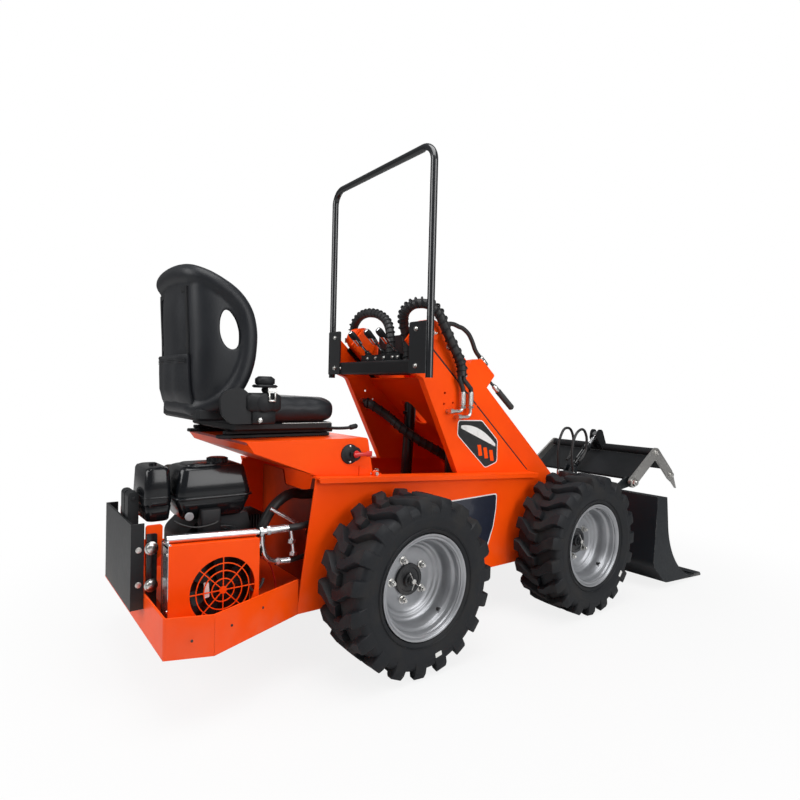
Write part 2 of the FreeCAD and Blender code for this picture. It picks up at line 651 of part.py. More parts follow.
# ------------------------------------------------------------------ wheel motors
motors = []
wheel_middle = frame_half + wheel_gap + tyre_width / 2
nose_out = wheel_middle - 34.3
for end in (-1, 1):
    axle = end * wheelbase / 2
    body_bar = rod(f"motor_body_{end + 1}", 62, 90, (-float(frame_inner), axle, tyre_radius))
    nose_bar = rod(f"motor_nose_{end + 1}", 40, nose_out - frame_half, (-nose_out, axle, tyre_radius))
    flange_bar = rod(f"motor_flange_{end + 1}", 68, 10, (-float(frame_half) - 10, axle, tyre_radius))
    outside = fused(f"motor_{end + 1}", [nose_bar, flange_bar])
    motors += [outside, mirror(outside), body_bar, mirror(body_bar)]
node("wheel_motors", grouped("motor_set", motors))

# ------------------------------------------------------------------ wheels
tyre_half = tyre_width / 2
rim_edge = rim_width / 2
well = rim_radius - 20
bead = rim_edge - 8
tyre_profile = [(-rim_edge, rim_radius + 2), (-tyre_half, rim_radius + 34, 26),
                (-tyre_half + 3, tyre_radius - 30, 40), (-tyre_half + 30, tyre_radius, 14),
                (tyre_half - 30, tyre_radius, 14), (tyre_half - 3, tyre_radius - 30, 40),
                (tyre_half, rim_radius + 34, 26), (rim_edge, rim_radius + 2), (bead, rim_radius + 1),
                (bead, well + 0.3), (-bead, well + 0.3), (-bead, rim_radius + 1)]
rim_profile = [(-rim_edge, rim_radius), (-bead - 0.3, rim_radius), (-bead - 0.3, well),
               (bead + 0.3, well), (bead + 0.3, rim_radius), (rim_edge, rim_radius, 2),
               (rim_edge, rim_radius - 7, 2), (rim_edge - 9, rim_radius - 27, 6), (62, well - 6, 3),
               (56, well - 18, 4), (16, well - 20, 3), (10, well - 34, 6), (-6, 84, 8), (-10, 70, 4),
               (-10, 32), (-18, 32), (-18, 72, 4), (-14, 88, 6), (-4, well - 36, 4), (-20, well - 10, 6),
               (-rim_edge + 6, well - 8, 4), (-rim_edge, rim_radius - 8)]
hub_profile = [(-34, 0), (-34, 55), (-18.3, 55), (-18.3, 31.7), (-9.7, 31.7), (-9.7, 58, 3), (6, 55, 4),
               (9, 30, 2), (24, 27, 3), (24, 0)]
for end, end_name in ((-1, "front"), (1, "rear")):
    for side_sign, side_name in ((-1, "right"), (1, "left")):
        # each wheel is drawn with its outer face towards +X and turned round for the right-hand side
        place = to_part_frame(side_sign * wheel_middle, end * wheelbase / 2, tyre_radius)
        if side_sign < 0:
            place.Rotation = Rotation(Vector(0, 0, 1), 180)
        where = f"{end_name}_{side_name}"
        node(f"tyre_{where}", turned(f"tyre_{where}", tyre_profile), place)
        node(f"rim_{where}", turned(f"rim_{where}", rim_profile), place)
        node(f"hub_{where}", turned(f"hub_{where}", hub_profile), place)

# ------------------------------------------------------------------ seat deck, hinged at its front edge
hinge_along = 495
hinge_up = 624
knuckle_radius = 7
deck_outer = [(seat_deck_front, seat_deck_top, 12), (seat_deck_rear, seat_deck_top), (930, 712),
              (715, deck_line(715) + 0.3), (hinge_along, deck_line(hinge_along) + 0.3)]
shell_outer = slab("deck_shell", "YZ_Plane", deck_outer, -seat_deck_half, 2 * seat_deck_half)
deck_hollow = slab("deck_hollow", "YZ_Plane",
                   [(522, 744, 10), (948, 744), (925, 714), (712, 639), (690, 600), (500, 600)],
                   3 - seat_deck_half, 2 * seat_deck_half - 6)
leaf = slab("hinge_leaf", "YZ_Plane",
            [(hinge_along, hinge_up - knuckle_radius),
             (hinge_along + 60, deck_line(hinge_along + 60) + 0.8), (hinge_along + 60, 655, 6),
             (hinge_along, hinge_up + knuckle_radius)], -seat_deck_half - 3, 3)
knuckle_bar = rod("hinge_knuckle", knuckle_radius, 3, (-seat_deck_half - 3, hinge_along, hinge_up))
hinge_pin = rod("hinge_pin", 4, 24, (-seat_deck_half - 24, hinge_along, hinge_up))
hinge = [leaf, knuckle_bar, hinge_pin]
node("seat_deck",
     fused("deck_weld", [cut("deck_shell_open", shell_outer, deck_hollow)] + hinge
           + [mirror(i) for i in hinge]))
hinge_block = slab("hinge_block", "YZ_Plane",
                   [(hinge_along - 22, deck_line(hinge_along - 22)),
                    (hinge_along + 10, deck_line(hinge_along + 10)), (hinge_along + 10, hinge_up + 10, 9),
                    (hinge_along - 10, hinge_up + 10, 9), (hinge_along - 12, hinge_up, 4),
                    (hinge_along - 22, hinge_up, 3)], -seat_deck_half - 20, 14,
                   holes=[(hinge_along, hinge_up, 4 + pin_play)])
node("deck_hinge_blocks", both_sides("hinge_block_pair", hinge_block))
switch = rod("switch_disc", 24, 8, (-298.3, 575, 695))
switch_key = block("switch_key", (-308.3, 553, 688), (-298.3, 597, 702))
node("master_switch", fused("switch_weld", [switch, switch_key]))

# ------------------------------------------------------------------ seat
rail_half = 190
rails = [block(f"seat_rail_{i}", (across, 600, seat_deck_top), (across + 40, 955, 775))
         for i, across in enumerate((-rail_half, rail_half - 40))]
pan = slab("seat_pan", "YZ_Plane", [(600, 775, 10), (955, 775, 10), (955, 800, 6), (600, 800, 6)],
           -rail_half, 2 * rail_half)
slide_lever = tube("slide_lever", [Vector(-200, 640, 786), Vector(-215, 620, 786), Vector(-235, 560, 786),
                                   Vector(-235, 530, 790)], 6)
slide_root = block("slide_root", (-206, 630, 780), (-rail_half + 1, 650, 792))
node("seat_mount", fused("mount_weld", [pan, slide_lever, slide_root] + rails))
cushion = slab("cushion_pad", "YZ_Plane",
               [(600, 800.3, 20), (588, 850, 30), (605, 890, 25), (700, 893), (915, 885), (940, 862, 10),
                (944, 800.3)], -238, 476)
node("seat_cushion", cushion)
backrest = slab("back_pad", "YZ_Plane",
                [(950, 830), (944, 890), (900, 1060, 60), (960, 1240, 60), (1060, 1305, 50),
                 (1140, 1290, 40), (1170, 1200, 60), (1150, 830), (1080, 800)], -238, 476)
node("seat_backrest", backrest)
cover = slab("pivot_cover", "YZ_Plane",
             [(880, 800, 20), (885, 850, 25), (960, 915, 40), (1025, 895, 30), (1020, 830, 40),
              (990, 800, 20)], 238.3, 14)
node("seat_pivot_covers", both_sides("pivot_cover_pair", cover))

# ------------------------------------------------------------------ boom
arm_outer = tower_inner - arm_gap
arm_in = arm_outer - arm_width
half_depth = arm_depth / 2
arm = slab("arm_box", "YZ_Plane",
           [(54, -half_depth, 46), (54, half_depth, 46), (-arm_length - 50, half_depth, 42),
            (-arm_length - 50, -half_depth, 42)], arm_in, arm_width,
           holes=[(0, 0, pin_radius + pin_play), (-arm_length, 0, pin_radius + pin_play)])
cross = [rod(f"arm_cross_{i}", 30, 2 * arm_in, (-arm_in, -down, over))
         for i, (down, over) in enumerate([(160, 15), (1240, 10)])]
rail = block("arm_bridge", (-arm_in, -780, 38), (arm_in, -640, 46))
beam = block("lift_beam", (-arm_in, -370, 42), (arm_in, -270, 50))
lift_down, lift_over = 320, -10
tilt_down, tilt_over = 700, 90
lugs = []
for i, across in enumerate((-178.5, -129.5, 121.5, 170.5)):
    lugs.append(slab(f"lift_lug_{i}", "YZ_Plane", [(-lift_down + 40, 43), (-lift_down - 40, 43),
                                                   (-lift_down - 26, lift_over - 26, 26),
                                                   (-lift_down + 26, lift_over - 26, 26)], across, 8))
for i, across in enumerate((-24, 16)):
    lugs.append(slab(f"tilt_lug_{i}", "YZ_Plane",
                     [(-tilt_down + 60, 45), (-tilt_down + 22, tilt_over + 24, 26),
                      (-tilt_down - 22, tilt_over + 24, 21), (-tilt_down - 30, 45)], across, 8))
tilt_pin = rod("tilt_foot_pin", 12, 56, (-28, -tilt_down, tilt_over))
node("boom_arms", fused("boom_weld", [arm, mirror(arm), rail, beam, tilt_pin] + lugs + cross),
     boom_frame())

latch_face = -358
latch = slab("latch_block", "YZ_Plane",
             [(-218, half_depth + 0.3), (latch_face, half_depth + 0.3), (latch_face, 120, 8),
              (-255, 116, 8), (-222, 76, 8)], -arm_outer + 2, 52)
node("boom_latch", latch, boom_frame())
grip_across = 18 - arm_outer
stem = bar("latch_stem", 6, (grip_across, latch_face - 0.6, 92), (grip_across, -440, 97))
grip = bar("latch_grip", 13, (grip_across, -430, 96.5), (grip_across, -540, 102))
grip_end = bar("latch_grip_end", 9, (grip_across, -538, 101.9), (grip_across, -545, 102.2))
node("boom_latch_lever", fused("latch_lever_weld", [stem, grip, grip_end]), boom_frame())


def ram_pair(name, middles, rest_length, case_radius, ram_radius, eye_width, case_end, foot_pin,
             ram_foot):
    """Make cylinders standing on their foot pins along +Z: the cases, and the rams up to their eyes.

    ram_foot is where the ram's inner end stands at rest, over the bore's bottom by more than it sinks.
    """
    cases, rams = [], []
    for i, middle in enumerate(middles):
        case = rod(f"{name}_case_{i}", case_radius, case_end - 36, (middle, 0, 36), "Z")
        gland = rod(f"{name}_gland_{i}", case_radius + 3, 26, (middle, 0, case_end - 30), "Z")
        neck = rod(f"{name}_neck_{i}", eye_width / 2 - 1, 40, (middle, 0, 0), "Z")
        foot_eye = rod(f"{name}_foot_{i}", case_radius, eye_width, (middle - eye_width / 2, 0, 0))
        ports = [rod(f"{name}_port_{i}_{k}", 8, case_radius + 10, (middle, 0, up), "Y")
                 for k, up in enumerate((60, case_end - 50))]
        bore = rod(f"{name}_bore_{i}", ram_radius + 0.1, case_end, (middle, 0, 60), "Z")
        pin_hole = rod(f"{name}_pin_hole_{i}", foot_pin + pin_play, eye_width,
                       (middle - eye_width / 2, 0, 0))
        bored = cut(f"{name}_bored_{i}",
                    fused(f"{name}_case_weld_{i}", [case, gland, neck, foot_eye] + ports), bore)
        cases.append(cut(f"{name}_case_{i}_done", bored, pin_hole))
        ram = rod(f"{name}_ram_{i}", ram_radius, rest_length - ram_foot - 10, (middle, 0, ram_foot), "Z")
        eye = rod(f"{name}_eye_{i}", ram_radius + 9, eye_width, (middle - eye_width / 2, 0, rest_length))
        eye_pin = rod(f"{name}_eye_pin_{i}", ram_radius - 1, eye_width + 10.4,
                      (middle - eye_width / 2 - 5.2, 0, rest_length))
        rams.append(fused(f"{name}_ram_weld_{i}", [ram, eye, eye_pin]))
    if len(middles) == 1:
        return cases[0], rams[0]
    return grouped(f"{name}_cases", cases), grouped(f"{name}_rams", rams)


def stand(foot, eye):
    """Placement that stands a cylinder on its foot, leaning at its rod's eye, and its length."""
    reach = math.hypot(eye[0] - foot[0], eye[1] - foot[1])
    lean = math.degrees(math.atan2(eye[1] - foot[1], eye[0] - foot[0])) - 90
    return to_part_frame(0, foot[0], foot[1], lean), reach


lift_foot = (20, 300)
feet = []
for i, across in enumerate((-lift_across - 26, 18 - lift_across, lift_across - 26, lift_across + 18)):
    feet.append(slab(f"lift_bracket_{i}", "YZ_Plane",
                     [(lift_foot[0] - 60, floor_top), (lift_foot[0] + 60, floor_top),
                      (lift_foot[0] + 28, lift_foot[1] + 28, 27),
                      (lift_foot[0] - 28, lift_foot[1] + 28, 27)], across, 8))
for i, middle in enumerate((-lift_across, lift_across)):
    feet.append(rod(f"lift_foot_pin_{i}", 14, 60, (middle - 30, lift_foot[0], lift_foot[1])))
node("lift_brackets",
     grouped("lift_bracket_pair",
             [fused("lift_bracket_right", [feet[0], feet[1], feet[4]]),
              fused("lift_bracket_left", [feet[2], feet[3], feet[5]])]))
lift_frame, lift_length = stand(lift_foot, on_arm(lift_down, lift_over))
lift_case, lift_ram = ram_pair("lift", (-lift_across, lift_across), lift_length, 26, 13, 30, 560, 14, 68)
node("lift_cylinder_barrels", lift_case, lift_frame)
node("lift_cylinder_rods", lift_ram, lift_frame)

tilt_foot = on_arm(tilt_down, tilt_over)
tilt_eye = (-870, 360)
tilt_frame, tilt_length = stand(tilt_foot, tilt_eye)
tilt_case, tilt_ram = ram_pair("tilt", (0,), tilt_length, 24, 12, 30, 500, 12, 140)
node("tilt_cylinder_barrel", tilt_case, tilt_frame)
node("tilt_cylinder_rod", tilt_ram, tilt_frame)

# ------------------------------------------------------------------ bucket
foot_along, foot_up = on_arm(float(arm_length), 0)
back_top = (-935, 445)
front_top = (-1019, 437)
lip_edge = (-1377, 2)
knuckle = (-912, 128, 46)
heel = (-1021, 28, 66)
shell = slab("bucket_sheet", "YZ_Plane",
             [back_top, front_top, (front_top[0], front_top[1] - 6), (-941, 439, 6), (-918, 130, 40),
              (-1022, 36, 60), (lip_edge[0], 10), lip_edge, heel, knuckle], -bucket_half, 2 * bucket_half)
cheek = slab("bucket_cheek", "YZ_Plane", [back_top, front_top, (-1068, 40, 330), lip_edge, heel, knuckle],
             bucket_half - 6, 6)
edge = slab("cutting_edge", "YZ_Plane", [(-1310, 6.9), (-1377, 2), (-1377, 10), (-1368, 20), (-1310, 23)],
            -bucket_half, 2 * bucket_half)
ears = []
for i, across in enumerate((ear_inner - 5, -ear_inner - 8)):
    ear_plate = slab(f"bucket_ear_{i}", "YZ_Plane",
                     [(foot_along + 34, foot_up - 34, 32), (foot_along + 34, foot_up + 50, 40),
                      (-870, 380, 20), (-935, 400), (-914, 140), (-895, 128)], across, 13)
    ears.append(ear_plate)
bucket_pin = rod("bucket_pin", pin_radius, tower_half - ear_inner + 5,
                 (ear_inner - 5, foot_along, foot_up))
for i, across in enumerate((-28.2, 20.2)):
    ears.append(slab(f"bucket_tilt_lug_{i}", "YZ_Plane", [(-846, 336, 20), (-850, 386, 22), (-933, 415),
                                                          (-926, 310)], across, 8))
for i, across in enumerate((-20, 12)):
    ears.append(slab(f"jaw_foot_lug_{i}", "YZ_Plane",
                     [(-950, 440), (-1008, 528, 14), (-1062, 522, 22), (-1054, 470, 22), (-1012, 434)],
                     across, 8))
ears.append(rod("jaw_foot_pin", 9, 48, (-24, -1035, 500)))
jaw_along, jaw_up = -1090, 470
for i, across in enumerate((-308, 298)):
    ears.append(slab(f"jaw_lug_{i}", "YZ_Plane",
                     [(-950, 440), (-1070, 498, 20), (-1116, 496, 24), (-1116, 446, 22), (-1012, 434)],
                     across, 10))
jaw_pin = rod("jaw_pin", 12, 50, (298, jaw_along, jaw_up))
ears += [jaw_pin, mirror(jaw_pin)]
node("bucket",
     fused("bucket_weld", [shell, cheek, mirror(cheek), edge, bucket_pin, mirror(bucket_pin)] + ears))

# ------------------------------------------------------------------ grapple
jaw = slab("jaw_plate", "YZ_Plane", [(jaw_along + 28, jaw_up - 27, 24), (jaw_along + 28, jaw_up + 14, 22),
                                     (-1311, 647, 42), (-1482, 503, 30), (-1530, 402), (-1489, 436, 30),
                                     (-1446, 460, 24), (-1307, 579, 34),
                                     (jaw_along - 14, jaw_up - 27, 24)], grapple_half - 12, 12,
           holes=[(jaw_along, jaw_up, 12 + pin_play)])
jaw_lugs = [slab(f"jaw_eye_lug_{i}", "YZ_Plane",
                 [(-1326, 612), (-1286, 596), (-1226, 664, 20), (-1234, 714, 24), (-1276, 714, 24)],
                 across, 8) for i, across in enumerate((-25.4, 17.4))]
jaw_in = grapple_half - 12
apex_bar = rod("jaw_apex_bar", 22, 2 * jaw_in, (-jaw_in, -1307, 612))
rear_sheet = slab("jaw_rear_sheet", "YZ_Plane", [(-1128, 484), (-1132, 479), (-1296, 586), (-1292, 592)],
                  -jaw_in, 2 * jaw_in)
low_roll = rod("jaw_low_roll", 8, 2 * jaw_in, (-jaw_in, -1130, 481))
front_sheet = slab("jaw_front_sheet", "YZ_Plane",
                   [(-1322, 622), (-1326, 617), (-1446, 516), (-1443, 511), (-1318, 616)], -jaw_in,
                   2 * jaw_in)
node("grapple",
     fused("grapple_weld", [jaw, mirror(jaw), apex_bar, rear_sheet, low_roll, front_sheet] + jaw_lugs))

jaw_foot = (-1035, 500)
jaw_eye = (-1254, 685)
jaw_frame, jaw_length = stand(jaw_foot, jaw_eye)
jaw_case, jaw_ram = ram_pair("jaw", (0,), jaw_length, 17, 9, 24, 200, 9, 95)
node("grapple_cylinder_barrel", jaw_case, jaw_frame)
node("grapple_cylinder_rod", jaw_ram, jaw_frame)

# ------------------------------------------------------------------ hydraulic hoses, held at both ends
def route(*points):
    """Turn a hose's points, in the vehicle's millimetres, into vectors."""
    return [Vector(*point) for point in points]


fitting_up = 831
fitting_across = tower_half + bundle_radius + 6
sleeve_top = 912
at_right = -float(fitting_across)
fittings = []
for i, (along, drop, reach) in enumerate(((89, 7, 60), (47, -15, 60))):
    crimp = bar(f"crimp_{i}", 11, (at_right, along, 862), (at_right, along, sleeve_top))
    elbow = tube(f"elbow_{i}", route((at_right, along, 864), (at_right, along, fitting_up + drop),
                                     (at_right, along + reach, fitting_up + drop)), 6.5, 18)
    nut = bar(f"elbow_nut_{i}", 10, (at_right, along + reach - 10, fitting_up + drop),
              (at_right, along + reach + 8, fitting_up + drop))
    stud = bar(f"elbow_stud_{i}", 7, (at_right, along + reach, fitting_up + drop),
               (-float(tower_half) - 0.3, along + reach, fitting_up + drop))
    fittings.append(fused(f"right_fitting_{i}", [crimp, elbow, nut, stud]))
inner_nuts = [bar(f"inner_nut_{i}", 11, (float(tower_inner) - 0.3, along, up),
                  (float(tower_inner) - 23, along, up))
              for i, (along, up) in enumerate(((180, 862), (150, 834)))]
node("tower_fittings",
     grouped("fitting_set", fittings + [mirror(piece) for piece in fittings] + inner_nuts))

bundle_low = 975
right_bundle = tube("right_bundle",
                    route((-148, 245, tray_up + 0.3), (-148, 245, 1100), (-166, 284, 1170),
                          (-200, 306, 1212), (-245, 300, 1238), (-292, 266, 1238), (at_right, 222, 1206),
                          (at_right, 175, 1130), (at_right, 118, 1048), (at_right, 98, 1008),
                          (at_right, 98, bundle_low)), bundle_radius)
tail_routes = ((108.5, 89), (87.5, 47))
right_tails = [tube(f"right_tail_{i}",
                    route((at_right, start, bundle_low - 0.3), (at_right, start, bundle_low - 14),
                          (at_right, end, sleeve_top + 14), (at_right, end, sleeve_top + 0.3)),
                    hose_radius) for i, (start, end) in enumerate(tail_routes)]
at_left = float(fitting_across)
left_bundle = tube("left_bundle",
                   route((-8, 228, 1060.3), (-8, 228, 1115), (8, 222, 1168), (50, 214, 1212),
                         (105, 218, 1240), (178, 222, 1250), (245, 222, 1238), (at_left - 6, 220, 1195),
                         (at_left + 3, 205, 1130), (at_left, 150, 1058), (at_left, 98, 1008),
                         (at_left, 98, bundle_low)), bundle_radius)
left_tails = [tube(f"left_tail_{i}",
                   route((at_left, start, bundle_low - 0.3), (at_left, start, bundle_low - 14),
                         (at_left, end, sleeve_top + 14), (at_left, end, sleeve_top + 0.3)), hose_radius)
              for i, (start, end) in enumerate(tail_routes)]
tower_bundle = tube("tower_bundle",
                    route((249.7, 165, 848), (225, 165, 848), (166, 100, 792), (112, 72, 745),
                          (48, 20, 692), (4, -44, 650), (-28, -124, 600), (-34, -200, 552),
                          (-34, -280, 512)), 20)
node("console_hoses", grouped("console_hose_set", [right_bundle, left_bundle] + right_tails + left_tails))
node("tower_hose", tower_bundle)

low = header_up - 8
cooler_hose = tube("cooler_hose_upper",
                   route((header_across, float(cooler_front) - 106.3, low), (header_across, 770, low),
                         (-262, 725, low), (-225, 690, 462), (-180, 672, 440), (-140, 665, 415),
                         (-130, 655, 400), (-130, 640.3, 400)), 11)
return_hose = tube("cooler_hose_lower",
                   route((header_across, 896, 456), (header_across, 894, 405), (-262, 862, 370),
                         (-262, 820, 359), (-258, 775, 359), (-235, 735, 356), (-200, 700, 350),
                         (-170, 670, 345), (-170, 640.3, 345)), 8)
suction = tube("suction_hose",
               route((-160, 858, 420), (-175, 846, 470), (-178, 815, 522), (-165, 770, 548),
                     (-140, 722, 552), (-130, 680, 540), (-130, 640.3, 540)), 17)
node("cooler_hoses", grouped("cooler_hose_set", [cooler_hose, return_hose, suction]))

boom_stub = 30 - float(arm_outer)
stub_over = 133
boom_hose = tube("boom_hose_tube",
                 route((boom_stub, -270, stub_over), (boom_stub, -226, stub_over), (boom_stub, -186, 150),
                       (boom_stub, -150, 158), (boom_stub, -112, 150), (boom_stub, -96, 140)),
                 hose_radius)
boom_crimp = bar("boom_crimp", 12, (boom_stub, -264, stub_over), (boom_stub, -310, stub_over))
boom_elbow = bar("boom_elbow", 8, (boom_stub, -300, stub_over), (boom_stub, -300, 118.1))
node("boom_hose", fused("boom_hose_weld", [boom_hose, boom_crimp, boom_elbow]), boom_frame())

jaw_stub = 441.3
jaw_hoses = [tube("jaw_hose_outer",
                  route((52, -985, jaw_stub), (52, -985, 500), (50, -975, 600), (48, -985, 670),
                        (44, -1016, 724), (40, -1066, 724), (38, -1094, 676), (38, -1094, 610),
                        (38, -1064, 560), (38, -1040, 546)), 7),
             tube("jaw_hose_inner",
                  route((-46, -985, jaw_stub), (-46, -985, 500), (-40, -975, 580), (-38, -985, 650),
                        (-40, -1012, 706), (-44, -1066, 730), (-46, -1100, 680), (-46, -1094, 600),
                        (-44, -1064, 560), (-40, -1040, 546)), 7)]
node("grapple_hoses", grouped("jaw_hose_set", jaw_hoses))

# ------------------------------------------------------------------ build, check and write
doc.recompute()
broken = [item.Label for item in doc.Objects if {"Invalid", "Error"} & set(item.State)]
for piece in nodes:
    if piece.Shape.isNull() or not piece.Shape.isValid() or not piece.Shape.Solids:
        broken.append(piece.Label)
if broken:
    raise RuntimeError("these pieces failed: " + ", ".join(broken))
os.makedirs("parts", exist_ok=True)
for piece in nodes:
    piece.Shape.exportStep(os.path.join("parts", piece.Label + ".step"))
print(len(nodes), "pieces written")
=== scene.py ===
import math

import bmesh
import bpy
from mathutils import Matrix, Quaternion, Vector


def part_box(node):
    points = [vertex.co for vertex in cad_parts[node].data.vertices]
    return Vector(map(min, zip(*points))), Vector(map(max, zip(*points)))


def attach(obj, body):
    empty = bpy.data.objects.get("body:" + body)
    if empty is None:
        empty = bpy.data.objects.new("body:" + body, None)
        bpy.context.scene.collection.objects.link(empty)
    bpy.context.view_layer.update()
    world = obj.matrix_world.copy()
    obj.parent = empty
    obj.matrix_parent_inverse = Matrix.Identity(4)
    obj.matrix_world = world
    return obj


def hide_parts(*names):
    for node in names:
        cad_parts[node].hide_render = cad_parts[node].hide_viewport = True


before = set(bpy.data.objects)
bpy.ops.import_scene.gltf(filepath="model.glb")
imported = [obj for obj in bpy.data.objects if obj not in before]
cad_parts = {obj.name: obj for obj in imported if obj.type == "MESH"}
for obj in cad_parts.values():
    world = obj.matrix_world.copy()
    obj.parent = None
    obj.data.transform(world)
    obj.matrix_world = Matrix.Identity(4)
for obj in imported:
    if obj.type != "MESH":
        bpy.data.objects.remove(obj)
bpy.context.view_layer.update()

# ------------------------------------------------------------------ camera and studio
# A close wide lens stands a little under a metre up, behind the driver's right shoulder.
# Pieces are placed from a point on the ground in the middle of the four wheels, rear along +Y.
front_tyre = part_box("tyre_front_right")
rear_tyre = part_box("tyre_rear_right")
middle_along = (front_tyre[0].y + rear_tyre[1].y) / 2


def spot(across, along, up):
    """A point in metres from the ground midway between the axles."""
    return Vector((across, along + middle_along, up))


def look(yaw, pitch, roll):
    """A camera's turn: yaw from +X, pitch below level, roll about the line of sight, in degrees."""
    ahead = Vector((math.cos(math.radians(yaw)) * math.cos(math.radians(pitch)),
                    math.sin(math.radians(yaw)) * math.cos(math.radians(pitch)),
                    -math.sin(math.radians(pitch))))
    right = ahead.cross(Vector((0, 0, 1))).normalized()
    above = right.cross(ahead)
    turn = Quaternion(ahead, -math.radians(roll))
    right, above = turn @ right, turn @ above
    return Matrix((right, above, -ahead)).transposed()


lens = bpy.data.cameras.new("camera")
lens.sensor_width = 36
lens.lens = 25.48
camera = bpy.data.objects.new("camera", lens)
camera.matrix_world = Matrix.Translation((-1.911, 1.7515, 0.918)) @ look(-37.1, 1.1, 1.37).to_4x4()
bpy.context.scene.collection.objects.link(camera)
bpy.context.scene.camera = camera
bpy.context.scene.view_settings.view_transform = "Standard"


def soft_lamp(name, place, aim, size, power):
    """A large square lamp that faces a point."""
    light = bpy.data.lights.new(name, "AREA")
    light.size = size
    light.energy = power
    lamp = bpy.data.objects.new(name, light)
    lamp.location = place
    lamp.rotation_euler = (Vector(aim) - Vector(place)).to_track_quat("-Z", "Y").to_euler()
    bpy.context.scene.collection.objects.link(lamp)


soft_lamp("lamp_over", (-1.2, 1.0, 4.2), (0, 0, 0.4), 3.0, 145)
soft_lamp("lamp_right", (-4.2, -0.6, 2.2), (0, 0, 0.6), 2.6, 100)
soft_lamp("lamp_rear", (0.4, 4.4, 2.6), (0, 0.4, 0.6), 2.4, 92)
soft_lamp("lamp_left", (4.0, -1.6, 2.4), (0, 0, 0.6), 2.6, 40)


class Wire:
    """A material's socket that joins sums, so that a finish reads as plain arithmetic."""

    def __init__(self, tree, socket):
        self.tree = tree
        self.socket = socket

    def node(self, kind, settings=(), inputs=(), output=0):
        """Any node of a kind: its settings first, then its sockets' values or links."""
        made = self.tree.nodes.new("ShaderNode" + kind)
        for name, value in dict(settings).items():
            setattr(made, name, value)
        for name, value in dict(inputs).items():
            if isinstance(value, Wire):
                self.tree.links.new(value.socket, made.inputs[name])
            else:
                made.inputs[name].default_value = value
        return Wire(self.tree, made.outputs[output])

    def join(self, operation, first, second):
        return self.node("Math", {"operation": operation}, {0: first, 1: second})

    def __add__(self, other):
        return self.join("ADD", self, other)

    __radd__ = __add__

    def __sub__(self, other):
        return self.join("SUBTRACT", self, other)

    def __rsub__(self, other):
        return self.join("SUBTRACT", other, self)

    def __mul__(self, other):
        return self.join("MULTIPLY", self, other)

    __rmul__ = __mul__

    def fade(self, low, high):
        """0 at low, 1 at high and smooth between, either way round."""
        return self.node("MapRange", {"interpolation_type": "SMOOTHSTEP"}, {0: self, 1: low, 2: high})

    def mottle(self, scale, detail=3.0, rough=0.55):
        """Noise from 0 to 1 over the surface, whose grain is about 1/scale of a metre."""
        return self.node("TexNoise", {},
                         {"Vector": self, "Scale": scale, "Detail": detail, "Roughness": rough})

    def part(self, letter):
        """One of a point's coordinates."""
        return self.node("SeparateXYZ", {}, {0: self}, output="XYZ".index(letter))

    def tint(self, first, second):
        """One colour where this is 0, the other where it is 1."""
        colours = [colour if isinstance(colour, Wire) else (*colour, 1) for colour in (first, second)]
        return self.node("Mix", {"data_type": "RGBA"}, {0: self, 6: colours[0], 7: colours[1]}, output=2)

    def dents(self, strength, depth, normal=None):
        """The surface raised and sunk by this, as a normal."""
        inputs = {"Height": self, "Strength": strength, "Distance": depth}
        return self.node("Bump", {}, inputs if normal is None else {**inputs, "Normal": normal})


def finish(name, **constants):
    """A new material, its shader with the constants set, and the point that patterns are drawn from."""
    material = bpy.data.materials.new(name)
    material.use_nodes = True
    tree = material.node_tree
    shader = tree.nodes["Principled BSDF"]
    for socket, value in constants.items():
        shader.inputs[socket.replace("_", " ")].default_value = value
    place = Wire(tree, tree.nodes.new("ShaderNodeTexCoord").outputs["Object"])
    return material, shader, place


def feed(shader, **wires):
    """Link patterns to the shader's sockets."""
    for socket, wire in wires.items():
        wire.tree.links.new(wire.socket, shader.inputs[socket.replace("_", " ")])


studio, studio_shader, place = finish("studio_floor", Roughness=0.9, Specular_IOR_Level=0.1)
feed(studio_shader, Base_Color=place.mottle(3).tint((0.60, 0.60, 0.60), (0.63, 0.63, 0.63)))
seen = place.node("LightPath")
away = place.node("VectorMath", {"operation": "LENGTH"}, {0: place}, output=1)
glow = place.node("Emission", {}, {"Color": (1, 1, 1, 1), "Strength": 1.0})
share = seen * (away.fade(0.9, 2.3) * 0.16 + 0.84)
tree = studio.node_tree
blend = place.node("MixShader", {}, {0: share, 1: Wire(tree, studio_shader.outputs[0]), 2: glow})
tree.links.new(blend.socket, tree.nodes["Material Output"].inputs["Surface"])
bpy.ops.mesh.primitive_grid_add(x_subdivisions=2, y_subdivisions=2, size=60, location=(0, 0, -0.0005))
floor = bpy.context.object
floor.name = "studio_floor"
floor.data.materials.append(studio)

sky = bpy.data.worlds.new("studio")
bpy.context.scene.world = sky
sky.use_nodes = True
backdrop = sky.node_tree.nodes["Background"]
backdrop.inputs["Color"].default_value = (1, 1, 1, 1)
ray = sky.node_tree.nodes.new("ShaderNodeLightPath")
plain_view = Wire(sky.node_tree, ray.outputs["Is Camera Ray"])
mirrored = Wire(sky.node_tree, ray.outputs["Is Glossy Ray"])
sky.node_tree.links.new((plain_view * 0.78 - mirrored * 0.04 + 0.22).socket, backdrop.inputs["Strength"])

# ------------------------------------------------------------------ orange sheet metal
# Folded and welded plate, powder coated in orange: the tower, boom arms, seat deck and cooler box.
# The coat has a fine peel, a lighter line on cut edges that is partly wear and partly painted highlight, and
# holds a little dust low down.


def turned_edge(place, radius):
    """A normal rounded over edges, and how far the flat surface turns away from it."""
    rounded = place.node("Bevel", {"samples": 4}, {"Radius": radius})
    plain = place.node("NewGeometry", output=1)
    level = place.node("VectorMath", {"operation": "DOT_PRODUCT"}, {0: rounded, 1: plain}, output=1)
    return rounded, 1 - level


